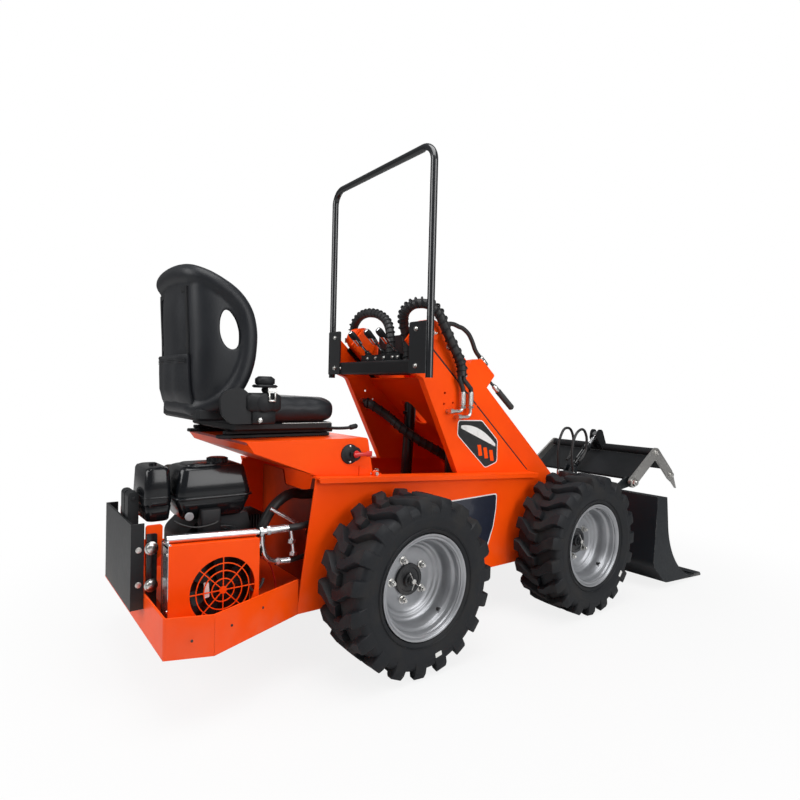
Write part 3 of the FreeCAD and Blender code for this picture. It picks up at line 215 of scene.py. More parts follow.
def coated(name, colour, shade, gloss, wear_and_highlight_colour=(0.5, 0.5, 0.5), wear_and_highlight=0.25, dust=0.2, coat=0.3):
    """Powder coat: two tones, a fine peel, lighter edges that are partly wear and partly painted highlight,
    and a little dust near the ground.
    """
    material, shader, place = finish(name, Coat_Roughness=0.12, Specular_IOR_Level=0.14)
    shader.inputs["Coat Weight"].default_value = coat
    broad = place.mottle(4.0, 4.0)
    fine = place.mottle(60.0, 3.0)
    peel = place.mottle(420.0, 2.0)
    rounded, turned = turned_edge(place, 0.0022)
    # Edges lighten towards the edge colour: partly wear, partly painted highlight.
    edge = turned.fade(0.015, 0.09) * fine.fade(0.45, 0.62) * wear_and_highlight
    low = place.part("Z").fade(0.42, 0.05) * place.mottle(9.0, 5.0).fade(0.35, 0.75) * dust
    base = low.tint(edge.tint(broad.fade(0.3, 0.7).tint(colour, shade), wear_and_highlight_colour), (0.36, 0.30, 0.24))
    feed(shader, Base_Color=base, Roughness=gloss + 0.08 * fine + 0.35 * low + 0.2 * edge,
         Normal=peel.dents(0.06, 0.0006, rounded))
    return material


orange = coated("orange_coat", (0.93, 0.078, 0.0016), (0.87, 0.064, 0.0012), 0.34,
                wear_and_highlight_colour=(0.96, 0.24, 0.06), coat=0.05)
orange_nodes = ["tower_side_plates", "tower_front_panel", "boom_pivot_ears", "lift_brackets", "seat_deck",
                "deck_hinge_blocks", "boom_arms", "boom_latch", "cooler_shroud", "rear_brackets"]


def dress(nodes, material):
    """Give CAD nodes a finish, with their own shape kept."""
    for name in nodes:
        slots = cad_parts[name].data.materials
        slots.clear()
        slots.append(material)


dress(orange_nodes, orange)
# The engine bulkhead's darker orange coat is painted shade of the engine bay.
bay_painted_shade = coated("sooted_bay_paint", (0.40, 0.030, 0.0012), (0.20, 0.016, 0.0010), 0.45, wear_and_highlight=0.1,
                   coat=0.0)
dress(["engine_bulkhead"], bay_painted_shade)

# ------------------------------------------------------------------ tyres
# Moulded rubber skid-steer tyres: a round carcass with a bead ridge, and two rows of deep bent bars.
# The bars reach over the shoulders and meet in staggered pairs along the middle.


def curve(a, b, c, d, t):
    """A place between b and c on a smooth line that also passes a and d."""
    return 0.5 * (2 * b + (c - a) * t + (2 * a - 5 * b + 4 * c - d) * t * t
                  + (3 * b - a - 3 * c + d) * t ** 3)


def smooth_line(points, steps):
    """Points along a smooth line, with so many steps from each given point to the next."""
    line = []
    last = len(points) - 1
    for k in range(last):
        a, b, c, d = (Vector(points[min(max(k + i, 0), last)]) for i in (-1, 0, 1, 2))
        line += [curve(a, b, c, d, i / steps) for i in range(steps)]
    return line


def carried(line):
    """Each point of a line, with two directions square to it that turn as little as they can."""
    side = (line[1] - line[0]).normalized().orthogonal().normalized()
    for k, point in enumerate(line):
        ahead = (line[min(k + 1, len(line) - 1)] - line[max(k - 1, 0)]).normalized()
        side = (side - ahead * side.dot(ahead)).normalized()
        yield point, side, ahead.cross(side)


def circle(centre, side, other, radius, turns):
    """A ring of points about a centre."""
    angles = [2 * math.pi * i / turns for i in range(turns)]
    return [centre + (side * math.cos(angle) + other * math.sin(angle)) * radius for angle in angles]


class Shape:
    """Points and faces of one piece while it is put together."""

    def __init__(self):
        self.points = []
        self.faces = []

    def rings(self, rows, ends=True):
        """Skin rows of points, each a closed ring, with their ends filled."""
        start, count = len(self.points), len(rows[0])
        for row in rows:
            self.points.extend(Vector(point) for point in row)
        for k in range(len(rows) - 1):
            for i in range(count):
                a, b = start + k * count + i, start + k * count + (i + 1) % count
                self.faces.append((a, b, b + count, a + count))
        if ends:
            self.faces.append(tuple(range(start + count - 1, start - 1, -1)))
            last = start + (len(rows) - 1) * count
            self.faces.append(tuple(range(last, last + count)))
        return self

    def spin(self, centre, axis, profile, turns=48, ends=True):
        """Revolve (along, radius) steps about an axis through the centre."""
        axis = Vector(axis).normalized()
        side = axis.orthogonal().normalized()
        other = axis.cross(side)
        rows = [circle(Vector(centre) + axis * along, side, other, max(radius, 1e-5), turns)
                for along, radius in profile]
        return self.rings(rows, ends)

    def run(self, points, radius, turns=12, smooth=6):
        """A round bar or hose along a smooth line through the points."""
        line = smooth_line(points, smooth) + [Vector(points[-1])]
        return self.rings([circle(point, side, other, radius, turns) for point, side, other in carried(line)])

    def hex_head(self, base, axis, across, height, washer=True):
        """A hexagon head on a washer, with its top edge turned down."""
        if washer:
            self.spin(base, axis,
                      [(0, across * 0.72), (across * 0.1, across * 0.72), (across * 0.12, across * 0.68)],
                      20)
        lift = across * 0.12 if washer else 0
        return self.spin(base, axis, [(lift, across * 0.577), (lift + height * 0.85, across * 0.577),
                                      (lift + height, across * 0.46)], 6)

    def made(self, name, material, body, slot=None, angle=38, replaces=()):
        """The finished piece, riding on its body."""
        mesh = bpy.data.meshes.new(name)
        mesh.from_pydata([tuple(point) for point in self.points], [], self.faces)
        work = bmesh.new()
        work.from_mesh(mesh)
        bmesh.ops.recalc_face_normals(work, faces=work.faces)
        work.to_mesh(mesh)
        work.free()
        mesh.shade_smooth()
        mesh.set_sharp_from_angle(angle=math.radians(angle))
        mesh.materials.append(material)
        thing = bpy.data.objects.new(name, mesh)
        bpy.context.scene.collection.objects.link(thing)
        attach(thing, body)
        if replaces:
            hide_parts(*replaces)
        return thing


rubber, rubber_shader, place = finish("tyre_tread_rubber", Specular_IOR_Level=0.30)
dusty = place.mottle(14.0, 6.0).fade(0.42, 0.72)
scuff = place.mottle(120.0, 4.0)
feed(rubber_shader, Base_Color=dusty.tint((0.0050, 0.0062, 0.0085), (0.017, 0.0165, 0.0165)),
     Roughness=0.52 + 0.22 * dusty + 0.1 * scuff, Normal=scuff.dents(0.15, 0.0008))

tyre_high = rear_tyre[1].z / 2
bar_count = 19


def carcass_radius(across):
    """The carcass's radius at a distance from the wheel's middle plane."""
    share = min(1.0, abs(across) / 0.104)
    return tyre_high - 0.022 - 0.005 * share ** 2 - 0.020 * max(0.0, (share - 0.80) / 0.20) ** 2


def tread_bar(shape, centre, side, turn, lean):
    """One bent bar, from the middle of the tread over the shoulder."""
    path = [(-0.010, -0.020, 0.034), (0.022, -0.016, 0.036), (0.046, 0.004, 0.040), (0.072, 0.022, 0.045),
            (0.096, 0.026, 0.049), (0.1035, 0.027, 0.050), (0.1055, 0.027, 0.050)]
    rows = []
    for k, (across, along, width) in enumerate(path):
        high = tyre_high - 0.0012 - 0.002 * (abs(across) / 0.1) ** 2
        low = carcass_radius(across) - 0.004
        if k == 5:
            high, low = tyre_high - 0.016, tyre_high - 0.062
        if k == 6:
            high, low = tyre_high - 0.034, tyre_high - 0.064
        row = []
        for reach, radius in ((-0.62, low), (-0.47, high - 0.003), (-0.40, high), (0.40, high),
                              (0.47, high - 0.003), (0.62, low)):
            angle = turn + lean * (along + width * reach) / tyre_high
            row.append(centre
                       + Vector((side * across, -math.sin(angle) * radius, math.cos(angle) * radius)))
        rows.append(row)
    shape.rings(rows)


tyre_profile = [(-0.0925, 0.1735), (-0.096, 0.178), (-0.1005, 0.196), (-0.1052, 0.216), (-0.1058, 0.230),
                (-0.1040, 0.2365), (-0.1048, 0.2395), (-0.1030, 0.248), (-0.098, 0.257), (-0.088, 0.2625),
                (-0.06, 0.2655), (-0.02, 0.268), (0.02, 0.268), (0.06, 0.2655), (0.088, 0.2625),
                (0.098, 0.257), (0.1030, 0.248), (0.1048, 0.2395), (0.1040, 0.2365), (0.1058, 0.230),
                (0.1052, 0.216), (0.1005, 0.196), (0.096, 0.178), (0.0925, 0.1735)]
wheels = [(end, hand) for end in ("front", "rear") for hand in ("right", "left")]
for end, hand in wheels:
    low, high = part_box(f"tyre_{end}_{hand}")
    centre = (low + high) / 2
    tyre = Shape().spin(centre, (1, 0, 0), tyre_profile, 96, ends=False)
    for ridge in (-1, 1):
        tyre.spin(centre, (ridge, 0, 0), [(0.0985, 0.1850), (0.1022, 0.1875), (0.0995, 0.1905)], 96,
                  ends=False)
    lean = 1 if hand == "right" else -1
    for i in range(bar_count):
        step = 2 * math.pi / bar_count
        tread_bar(tyre, centre, 1, i * step, lean)
        tread_bar(tyre, centre, -1, (i + 0.5) * step, lean)
    tyre.made(f"tyre_{end}_{hand}_moulded", rubber, f"{end}_{hand}_wheel", "tyre_rubber", 34,
              [f"tyre_{end}_{hand}"])

# ------------------------------------------------------------------ main frame
# The welded frame keeps its own sheets, and its open tray behind the wheels is folded in at the rear corners.
# The fold starts at the tray's shoulder and takes a tenth off the tray's width at the rear wall.
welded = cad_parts["main_frame"]
low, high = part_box("main_frame")
shoulder = high.y - 0.119
tray = Shape()
for vertex in welded.data.vertices:
    point = vertex.co.copy()
    point.x *= 1 - 0.10 * max(0.0, (point.y - shoulder) / (high.y - shoulder))
    tray.points.append(point)
tray.faces = [tuple(face.vertices) for face in welded.data.polygons]
# Black discs on the tray walls are painted shade: they stand for the dark insides of the tray's holes.
tray_hole_shade_discs = Shape()
for side in (-1, 1):
    for along, up, over in ((1.150, 0.250, 0.4297), (1.040, 0.262, 0.4190), (0.930, 0.272, 0.3726)):
        tray_hole_shade_discs.spin(spot(side * over, along, up), (side, 0.3, 0),
                   [(-0.002, 0.0035), (0.0006, 0.0035), (0.0009, 0.0022)], 16)
tray.made("main_frame_welded", orange, "chassis", "orange_paint", 38, ["main_frame"])
tray_hole_shade_discs.made("tray_hole_plugs", coated("plug_black", (0.010, 0.010, 0.011), (0.014, 0.014, 0.015), 0.5),
           "chassis")

# ------------------------------------------------------------------ rims and hubs
# Spun steel rims in silver paint, dished deep, with two rolled steps and a black valve stub.
# Five plated nuts hold each rim on a black hub whose castle nut is held by a bent split pin.
silver, silver_shader, place = finish("silver_wheel_paint", Metallic=0.7, Coat_Weight=0.15,
                                      Coat_Roughness=0.2)
grain = place.mottle(900.0, 2.0)
haze = place.mottle(11.0, 4.0)
feed(silver_shader, Base_Color=haze.fade(0.3, 0.75).tint((0.36, 0.368, 0.385), (0.28, 0.288, 0.304)),
     Roughness=0.30 + 0.14 * grain + 0.06 * haze, Normal=grain.dents(0.05, 0.0003))
zinc, zinc_shader, place = finish("bright_zinc", Metallic=1.0)
tarnish = place.mottle(160.0, 4.0)
feed(zinc_shader, Base_Color=tarnish.fade(0.3, 0.8).tint((0.72, 0.72, 0.70), (0.52, 0.50, 0.47)),
     Roughness=0.18 + 0.25 * tarnish)
black = coated("black_coat", (0.018, 0.020, 0.023), (0.026, 0.028, 0.031), 0.34, wear_and_highlight_colour=(0.10, 0.10, 0.10),
               wear_and_highlight=0.3)

rim_profile = [(0.0955, 0.1700), (0.0958, 0.1660), (0.0935, 0.1625), (0.0890, 0.1600), (0.0860, 0.1560),
               (0.0840, 0.1520), (0.0780, 0.1500), (0.0660, 0.1490), (0.0620, 0.1470), (0.0590, 0.1420),
               (0.0550, 0.1385), (0.0300, 0.1355), (0.0180, 0.1330), (0.0130, 0.1300), (0.0120, 0.1265),
               (0.0100, 0.1225), (0.0050, 0.1200), (0.0035, 0.1160), (0.0030, 0.1120), (-0.0010, 0.1080),
               (-0.0055, 0.1030), (-0.0060, 0.0850), (-0.0060, 0.0300), (-0.0140, 0.0300),
               (-0.0140, 0.0850), (-0.0145, 0.1080), (-0.0100, 0.1240), (-0.0160, 0.1330),
               (-0.0840, 0.1390), (-0.0880, 0.1560), (-0.0950, 0.1620), (-0.0958, 0.1700),
               (-0.0900, 0.1706), (-0.0890, 0.1540), (0.0886, 0.1540), (0.0890, 0.1706)]
for end, hand in wheels:
    low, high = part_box(f"tyre_{end}_{hand}")
    centre = (low + high) / 2
    out = Vector((-1 if hand == "right" else 1, 0, 0))
    name, body = f"{end}_{hand}", f"{end}_{hand}_wheel"
    rim = Shape().spin(centre, out, rim_profile + rim_profile[:1], 96, ends=False)
    rim.made(f"rim_{name}_spun", silver, body, "wheel_silver", 50, [f"rim_{name}"])
    nuts = Shape()
    for i in range(5):
        turn = 2 * math.pi * (i + 0.25) / 5
        foot = centre + out * -0.006 + Vector((0, math.sin(turn), math.cos(turn))) * 0.068
        nuts.spin(foot, out, [(0, 0.0145), (0.003, 0.0140), (0.004, 0.0105)], 24)
        nuts.hex_head(foot + out * 0.003, out, 0.019, 0.013, washer=False)
        nuts.spin(foot + out * 0.014, out, [(0, 0.0062), (0.008, 0.0062), (0.009, 0.0050)], 16)
    nuts.made(f"wheel_nuts_{name}", zinc, body)
    hub = Shape().spin(centre, out,
                       [(-0.014, 0.020), (-0.014, 0.0520), (0.0015, 0.0528), (0.0040, 0.0510),
                        (0.0045, 0.0400), (0.0010, 0.0380), (0.0010, 0.0240), (0.0120, 0.0225),
                        (0.0130, 0.0200), (0.0130, 0.010)], 48)
    hub.hex_head(centre + out * 0.013, out, 0.030, 0.010, washer=False)
    for i in range(6):
        turn = math.pi * i / 3
        hub.spin(centre + out * 0.022 + Vector((0, math.sin(turn), math.cos(turn))) * 0.0105, out,
                 [(0, 0.0042), (0.008, 0.0040), (0.0085, 0.0030)], 6)
    hub.made(f"hub_{name}_turned", black, body, "black_paint", 40, [f"hub_{name}"])
    pin = Shape()
    for start, stop in (((0.020, 0.034), (-0.004, -0.008)), ((-0.022, -0.020), (0.004, 0.002)),
                        ((0.010, -0.026), (-0.006, 0.004))):
        first = centre + out * 0.031 + Vector((0, *start))
        last = centre + out * 0.030 + Vector((0, *stop))
        pin.spin(first, last - first, [(0, 0.0008), (0.001, 0.0014), ((last - first).length, 0.0014)], 8)
    pin.spin(centre + out * 0.024, out, [(0, 0.0085), (0.006, 0.0085), (0.007, 0.0075)], 24)
    pin.made(f"split_pin_{name}", zinc, body)
    valve = Shape().spin(centre + out * 0.046 + Vector((0, -0.090, -0.103)), out + Vector((0, 0.45, 0.5)),
                         [(0, 0.0060), (0.004, 0.0058), (0.006, 0.0042), (0.020, 0.0040),
                          (0.022, 0.0030)], 16)
    valve.made(f"valve_{name}", black, body)

# ------------------------------------------------------------------ driver's hoop
# Bent steel tube in satin black, welded to a flat bracket on each foot.
# Two plated bolts hold each bracket to the tower.
satin_black = coated("satin_black", (0.0095, 0.0105, 0.0125), (0.0065, 0.0075, 0.0090), 0.26,
                     (0.16, 0.155, 0.15), 0.25, 0.3, coat=1.0)
dress(["hoop_frame"], satin_black)
feet = Shape()
for hand in (-1, 1):
    for across, lift in ((0.290, 1.005), (0.290, 1.140)):
        feet.hex_head(spot(hand * across, 0.3185, lift), (0, 1, 0), 0.013, 0.006)
feet.made("hoop_foot_bolts", zinc, "chassis")

# ------------------------------------------------------------------ boom, its pivots and the cylinders
# Hard chrome rods slide in black painted barrels.
# Each boom pivot has a plated lock plate with its bolt, and a grease nipple.
chrome, chrome_shader, place = finish("hard_chrome", Metallic=1.0)
streak = place.mottle(240.0, 3.0)
feed(chrome_shader, Base_Color=streak.fade(0.3, 0.8).tint((0.80, 0.81, 0.82), (0.62, 0.63, 0.65)),
     Roughness=0.06 + 0.14 * streak)
dress(["lift_cylinder_rods", "tilt_cylinder_rod", "grapple_cylinder_rod"], chrome)
dress(["lift_cylinder_barrels", "tilt_cylinder_barrel", "grapple_cylinder_barrel"], satin_black)


def boxed(shape, low, high, ease=0.004):
    """A box with eased upright and level edges."""
    (a, b, c), (d, e, f) = low, high
    rows = []
    for level, draw in ((c, ease), (c + ease, 0), (f - ease, 0), (f, ease)):
        rows.append([Vector(point) for point in
                     ((a + draw + ease, b + draw, level), (d - draw - ease, b + draw, level),
                      (d - draw, b + draw + ease, level), (d - draw, e - draw - ease, level),
                      (d - draw - ease, e - draw, level), (a + draw + ease, e - draw, level),
                      (a + draw, e - draw - ease, level), (a + draw, b + draw + ease, level))])
    return shape.rings(rows)


pivot_along, pivot_up = 0.219, 1.132
caps, nipples = Shape(), Shape()
for hand in (-1, 1):
    pivot = spot(hand * 0.2795, pivot_along, pivot_up)
    boxed(caps, pivot + Vector((min(0, hand * 0.006), 0.006, -0.011)),
          pivot + Vector((max(0, hand * 0.006), 0.052, 0.011)), 0.002)
    caps.hex_head(pivot + Vector((hand * 0.006, 0.038, 0)), (hand, 0, 0), 0.013, 0.006)
    nipples.spin(pivot + Vector((hand * 0.004, 0, 0)), (hand, 0, 0),
                 [(0, 0.0050), (0.003, 0.0050), (0.004, 0.0028), (0.008, 0.0030), (0.010, 0.0018)], 12)
caps.made("pivot_lock_plates", zinc, "chassis")
nipples.made("pivot_grease_nipples", zinc, "boom")

# ------------------------------------------------------------------ bucket
# Welded sheet in charcoal paint, with dried earth in patches.
# The paint is rubbed bare in places near the ground and along the sheet's edges.
soiled, soiled_shader, place = finish("bucket_paint", Specular_IOR_Level=0.28)
broad = place.mottle(5.0, 5.0)
fine = place.mottle(90.0, 4.0)
rounded, turned = turned_edge(place, 0.003)
edge = turned.fade(0.01, 0.08)
rubbed = place.part("Z").fade(0.03, 0.004) * broad.fade(0.35, 0.62)
bare = (rubbed + edge * fine.fade(0.4, 0.6) * 0.7).fade(0.1, 0.9)
earth = broad.fade(0.52, 0.75) * 0.35
feed(soiled_shader, Base_Color=bare.tint(earth.tint((0.0070, 0.0095, 0.0125), (0.026, 0.024, 0.022)),
                                         (0.20, 0.195, 0.19)), Metallic=bare * 0.85,
     Roughness=0.36 + 0.22 * fine + 0.18 * earth, Normal=fine.dents(0.12, 0.0008, rounded))
dress(["bucket"], soiled)

# ------------------------------------------------------------------ grapple
# Two profile-cut jaws in worn bright steel, joined by black sheets and a round bar between them.
# Each jaw carries two plated nuts, and a larger one with a stud end on its pivot.
worn_steel, worn_steel_shader, place = finish("worn_steel", Metallic=1.0)
scale = place.mottle(30.0, 6.0)
scratch = place.mottle(300.0, 3.0)
aft = place.part("Y").fade(-0.86, -0.97)
dull = (1 - aft) * 0.75 + scale.fade(0.45, 0.75) * 0.35
feed(worn_steel_shader, Base_Color=dull.fade(0.0, 1.0).tint((0.56, 0.55, 0.53), (0.075, 0.075, 0.078)),
     Roughness=0.24 + 0.25 * scale + 0.1 * scratch, Normal=scratch.dents(0.10, 0.0004))
gloss_black = coated("gloss_black", (0.011, 0.012, 0.013), (0.017, 0.018, 0.020), 0.44,
                     (0.16, 0.155, 0.15), 0.25, 0.3, coat=0.0)
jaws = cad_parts["grapple"]
dress(["grapple"], gloss_black)
jaws.data.materials.append(worn_steel)
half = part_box("grapple")[1].x
jaw_inside = half - 0.0145
for face in jaws.data.polygons:
    reached = [abs(jaws.data.vertices[k].co.x) for k in face.vertices]
    face.material_index = 1 if abs(face.center.x) > jaw_inside and min(reached) > jaw_inside else 0
jaw_nuts = Shape()
for hand in (-1, 1):
    for along, up in ((-1.307, 0.612), (-1.466, 0.482)):
        jaw_nuts.hex_head(spot(hand * (half + 0.0005), along, up), (hand, 0, 0), 0.022, 0.010)
    jaw_nuts.hex_head(spot(hand * (half + 0.0005), -1.090, 0.470), (hand, 0, 0), 0.034, 0.014)
    jaw_nuts.spin(spot(hand * (half + 0.017), -1.090, 0.470), (hand, 0, 0),
                  [(0, 0.012), (0.005, 0.012), (0.007, 0.010)], 20)
jaw_nuts.made("jaw_nuts", zinc, "grapple")

# ------------------------------------------------------------------ driver's seat
# A moulded shell seat in black grained vinyl: a thick padded rim wraps round the sides and top of the back.
# Two long grab holes go through the wings, and the cushion is swollen foam under a tight skin.
vinyl, vinyl_shader, place = finish("seat_vinyl", Specular_IOR_Level=0.30, Coat_Weight=0.06,
                                    Coat_Roughness=0.3)
creases = place.node("TexVoronoi", {"feature": "DISTANCE_TO_EDGE"}, {"Vector": place, "Scale": 420.0})
pebble = creases.fade(0.0, 0.16)
soft = place.mottle(7.0, 4.0)
feed(vinyl_shader,
     Base_Color=soft.fade(0.35, 0.75).tint((0.0060, 0.0072, 0.0098), (0.0105, 0.0120, 0.0150)),
     Roughness=0.36 + 0.14 * soft + 0.10 * (1 - pebble), Normal=pebble.dents(0.16, 0.0005))


def between(table, level):
    """A value read off a table of (level, value) pairs, along a smooth curve through them."""
    last = len(table) - 1
    for k in range(last):
        if level <= table[k + 1][0] or k == last - 1:
            (low, first), (high, second) = table[k], table[k + 1]
            t = min(1.0, max(0.0, (level - low) / (high - low)))
            before, after = table[max(k - 1, 0)][1], table[min(k + 2, last)][1]
            return curve(before, first, second, after, t)


rear_line = [(0.83, 1.080), (0.90, 1.092), (0.98, 1.096), (1.06, 1.098), (1.14, 1.102), (1.22, 1.105),
             (1.30, 1.104)]
half_line = [(0.83, 0.170), (0.90, 0.196), (0.98, 0.206), (1.06, 0.210), (1.14, 0.208), (1.22, 0.200),
             (1.30, 0.180)]
reach_line = [(0.83, 0.060), (0.90, 0.115), (0.98, 0.155), (1.06, 0.176), (1.14, 0.166), (1.20, 0.136),
              (1.25, 0.056), (1.30, 0.020)]


def back_middle(share, level):
    """The middle of the back's shell: flat behind the spine, then bent forward into wings."""
    side = 1 if share >= 0 else -1
    share = abs(share)
    rear, half, reach = (between(line, level) for line in (rear_line, half_line, reach_line))
    if share < 0.42:
        return spot(side * share / 0.42 * half * 0.70, rear - 0.020, level)
    bend = (share - 0.42) / 0.58
    control = [(half * 0.70, rear), (half * 1.04, rear), (half * 1.0, rear - 0.40 * reach),
               (half, rear - reach)]
    weights = ((1 - bend) ** 3, 3 * bend * (1 - bend) ** 2, 3 * bend ** 2 * (1 - bend), bend ** 3)
    across = sum(w * c[0] for w, c in zip(weights, control))
    along = sum(w * c[1] for w, c in zip(weights, control))
    return spot(side * across, along - 0.020, level)


backrest = Shape()
rows = []
for j in range(41):
    level = 0.850 + (1.250 - 0.850) * j / 40
    front_row, rear_row = [], []
    for i in range(65):
        share = -1 + 2 * i / 64
        middle = back_middle(share, level)
        beside = back_middle(min(1, share + 0.01), level) - back_middle(max(-1, share - 0.01), level)
        out = beside.cross(Vector((0, 0, 1))).normalized()
        pad = 0.0075 + 0.022 * math.exp(-(share / 0.30) ** 4) * math.exp(-((level - 1.05) / 0.17) ** 4)
        front_row.append(middle - out * pad)
        rear_row.append(middle + out * 0.0075)
    rows.append(front_row + rear_row[::-1])
backrest.rings(rows)
rim_side = [(0.150, 1.052, 0.846), (0.196, 0.990, 0.878), (0.204, 0.952, 0.930), (0.2055, 0.930, 0.990),
            (0.2060, 0.923, 1.050), (0.2055, 0.925, 1.100), (0.2040, 0.940, 1.150),
            (0.2010, 0.976, 1.194), (0.1900, 1.034, 1.230), (0.1600, 1.076, 1.250),
            (0.1000, 1.090, 1.260)]
loop = [spot(*point) for point in rim_side] + [spot(0, 1.094, 1.264)]
loop += [spot(-x, y, z) for x, y, z in rim_side[::-1]]
loop += [spot(-0.075, 1.062, 0.850), spot(0.075, 1.062, 0.850), loop[0]]
backrest.run(loop, 0.0285, 20, 6)
rest = backrest.made("seat_back_moulded", vinyl, "seat_deck", "seat_vinyl", 180, ["seat_backrest"])


def reworked(thing, kind, **settings):
    """Apply one of the shape tools to a piece at once."""
    tool = thing.modifiers.new(kind, kind)
    for name, value in settings.items():
        setattr(tool, name, value)
    bpy.context.view_layer.objects.active = thing
    bpy.ops.object.modifier_apply(modifier=tool.name)


reworked(rest, "REMESH", mode="VOXEL", voxel_size=0.0042, use_smooth_shade=True)
for side in (-1, 1):
    slot_shape = Shape()
    rows = []
    for across in (0.10, 0.34):
        row = []
        for i in range(32):
            turn = 2 * math.pi * i / 32
            lift = 0.060 * math.sin(turn)
            along = 0.030 * math.cos(turn) * (1 - 0.18 * math.sin(turn))
            row.append(spot(side * across, 0.984 + along + 0.16 * lift, 1.088 + lift))
        rows.append(row)
    slot_shape.rings(rows)
    cutter = slot_shape.made("grab_slot", vinyl, "seat_deck")
    reworked(rest, "BOOLEAN", object=cutter, solver="EXACT")
    bpy.data.objects.remove(cutter)
reworked(rest, "REMESH", mode="VOXEL", voxel_size=0.0038, use_smooth_shade=True)
reworked(rest, "SMOOTH", factor=0.6, iterations=6)

low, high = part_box("seat_cushion")
cushion_shape = Shape()
outline_rows = []
for k, (level, shrink) in enumerate([(0.0, 0.016), (0.08, 0.006), (0.30, 0.001), (0.66, 0.001),
                                     (0.84, 0.005), (0.95, 0.016), (1.0, 0.034)]):
    row = []
    for i in range(64):
        turn = 2 * math.pi * i / 64
        c, s = math.cos(turn), math.sin(turn)
        across = math.copysign(abs(c) ** 0.30, c) * ((high.x - low.x) / 2 - shrink - 0.006)
        along = math.copysign(abs(s) ** 0.30, s) * ((high.y - low.y) / 2 - shrink - 0.004)
        dip = 0.010 * level * (1 - abs(c) ** 3) * (1 if s > -0.6 else 0.3)
        row.append(Vector(((low.x + high.x) / 2 + across, (low.y + high.y) / 2 + along,
                           low.z + 0.004 + (high.z - low.z - 0.016) * level - dip)))
    outline_rows.append(row)
cushion_shape.rings(outline_rows)
cushion = cushion_shape.made("seat_cushion_padded", vinyl, "seat_deck", "seat_vinyl", 180,
                             ["seat_cushion"])
reworked(cushion, "REMESH", mode="VOXEL", voxel_size=0.006, use_smooth_shade=True)
before = [vertex.co.copy() for vertex in cushion.data.vertices]
most_swell = 0.006
swelling = cushion.modifiers.new("swelling", "CLOTH")
swelling.settings.use_pressure = True
swelling.settings.uniform_pressure_force = 4
swelling.settings.effector_weights.gravity = 0
for step in range(1, 13):
    bpy.context.scene.frame_set(step)
swollen = cushion.evaluated_get(bpy.context.evaluated_depsgraph_get()).data
moved = [vertex.co.copy() for vertex in swollen.vertices]
cushion.modifiers.remove(swelling)
for vertex, start, stop in zip(cushion.data.vertices, before, moved):
    shift = stop - start
    if shift.length > most_swell:
        shift = shift.normalized() * most_swell
    vertex.co = start + shift
bpy.context.scene.frame_set(1)
reworked(cushion, "SMOOTH", factor=0.7, iterations=14)
seam_wide, seam_out, seam_along = 0.0045, 0.150, low.y + 0.135
for vertex in cushion.data.vertices:
    across = abs(vertex.co.x)
    groove, cross = 0, 0
    if vertex.co.z > low.z + 0.05:
        groove = math.exp(-((across - seam_out) / seam_wide) ** 2)
        cross = math.exp(-((vertex.co.y - seam_along) / seam_wide) ** 2) if across < seam_out else 0
    vertex.co.z -= 0.0045 * max(groove, cross)
    vertex.co.z = max(vertex.co.z, low.z + 0.0006)
reworked(cushion, "SUBSURF", levels=1)

# ------------------------------------------------------------------ seat shell, covers and belt
# Moulded black plastic: ribs and a panel on the back's rear face, pivot covers and slide rails.
# A vinyl document pouch hangs on the back. The belt's retractor has a steel tongue and a short black strap.
plastic, plastic_shader, place = finish("black_moulding", Specular_IOR_Level=0.3)
spark = place.mottle(700.0, 2.0)
cloud = place.mottle(9.0, 4.0)
bevelled = place.node("Bevel", {"samples": 4}, {"Radius": 0.0015})
feed(plastic_shader,
     Base_Color=cloud.fade(0.3, 0.8).tint((0.0062, 0.0070, 0.0086), (0.0110, 0.0116, 0.0130)),
     Roughness=0.46 + 0.16 * spark, Normal=spark.dents(0.12, 0.0003, bevelled))
dress(["seat_pivot_covers"], plastic)
shell = Shape()


def rear_strip(shape, across_low, across_high, level_low, level_high, rise=0.004):
    """A strip that follows the back's rear face."""
    rows = []
    for k in range(13):
        level = level_low + (level_high - level_low) * k / 12
        rear = between(rear_line, level) - 0.0115
        rows.append([spot(across_low, rear - 0.004, level), spot(across_high, rear - 0.004, level),
                     spot(across_high - 0.001, rear + rise, level),
                     spot(across_low + 0.001, rear + rise, level)])
    shape.rings(rows)


for side in (-1, 1):
    rear_strip(shell, side * 0.140 - 0.009, side * 0.140 + 0.009, 0.960, 1.215)
rear_strip(shell, -0.132, 0.132, 1.200, 1.216)
rear_strip(shell, -0.132, 0.132, 1.030, 1.044)
rear_strip(shell, -0.128, 0.128, 1.052, 1.192, 0.0012)
shell.made("seat_back_ribs", plastic, "seat_deck")
pouch = Shape()
rows = []
for level, bulge in ((0.852, 0.000), (0.862, 0.012), (0.90, 0.018), (0.955, 0.016), (0.995, 0.014),
                     (1.003, 0.018), (1.009, 0.013)):
    row = []
    for i in range(33):
        share = -1 + 2 * i / 32
        rear = between(rear_line, level) + bulge * (1 - abs(share) ** 5) + 0.0015 * math.sin(share * 9)
        row.append(spot(share * 0.156, rear - 0.004, level))
    row += [spot(0.150, between(rear_line, level) - 0.026, level),
            spot(-0.150, between(rear_line, level) - 0.026, level)]
    rows.append(row)
pouch.rings(rows)
for level in (0.984, 0.989, 0.994):
    hem_row = [spot(share * 0.156, between(rear_line, level) + 0.0115 * (1 - abs(share) ** 5), level)
               for share in [-0.96 + 1.92 * i / 24 for i in range(25)]]
    for first, last in zip(hem_row, hem_row[1:]):
        pouch.spin(first, last - first, [(0, 0.0011), ((last - first).length, 0.0011)], 6)
pouch.made("document_pouch", vinyl, "seat_deck", angle=50)
base = Shape()
boxed(base, spot(-0.190, 0.985, 0.806), spot(0.190, 1.072, 0.846), 0.008)
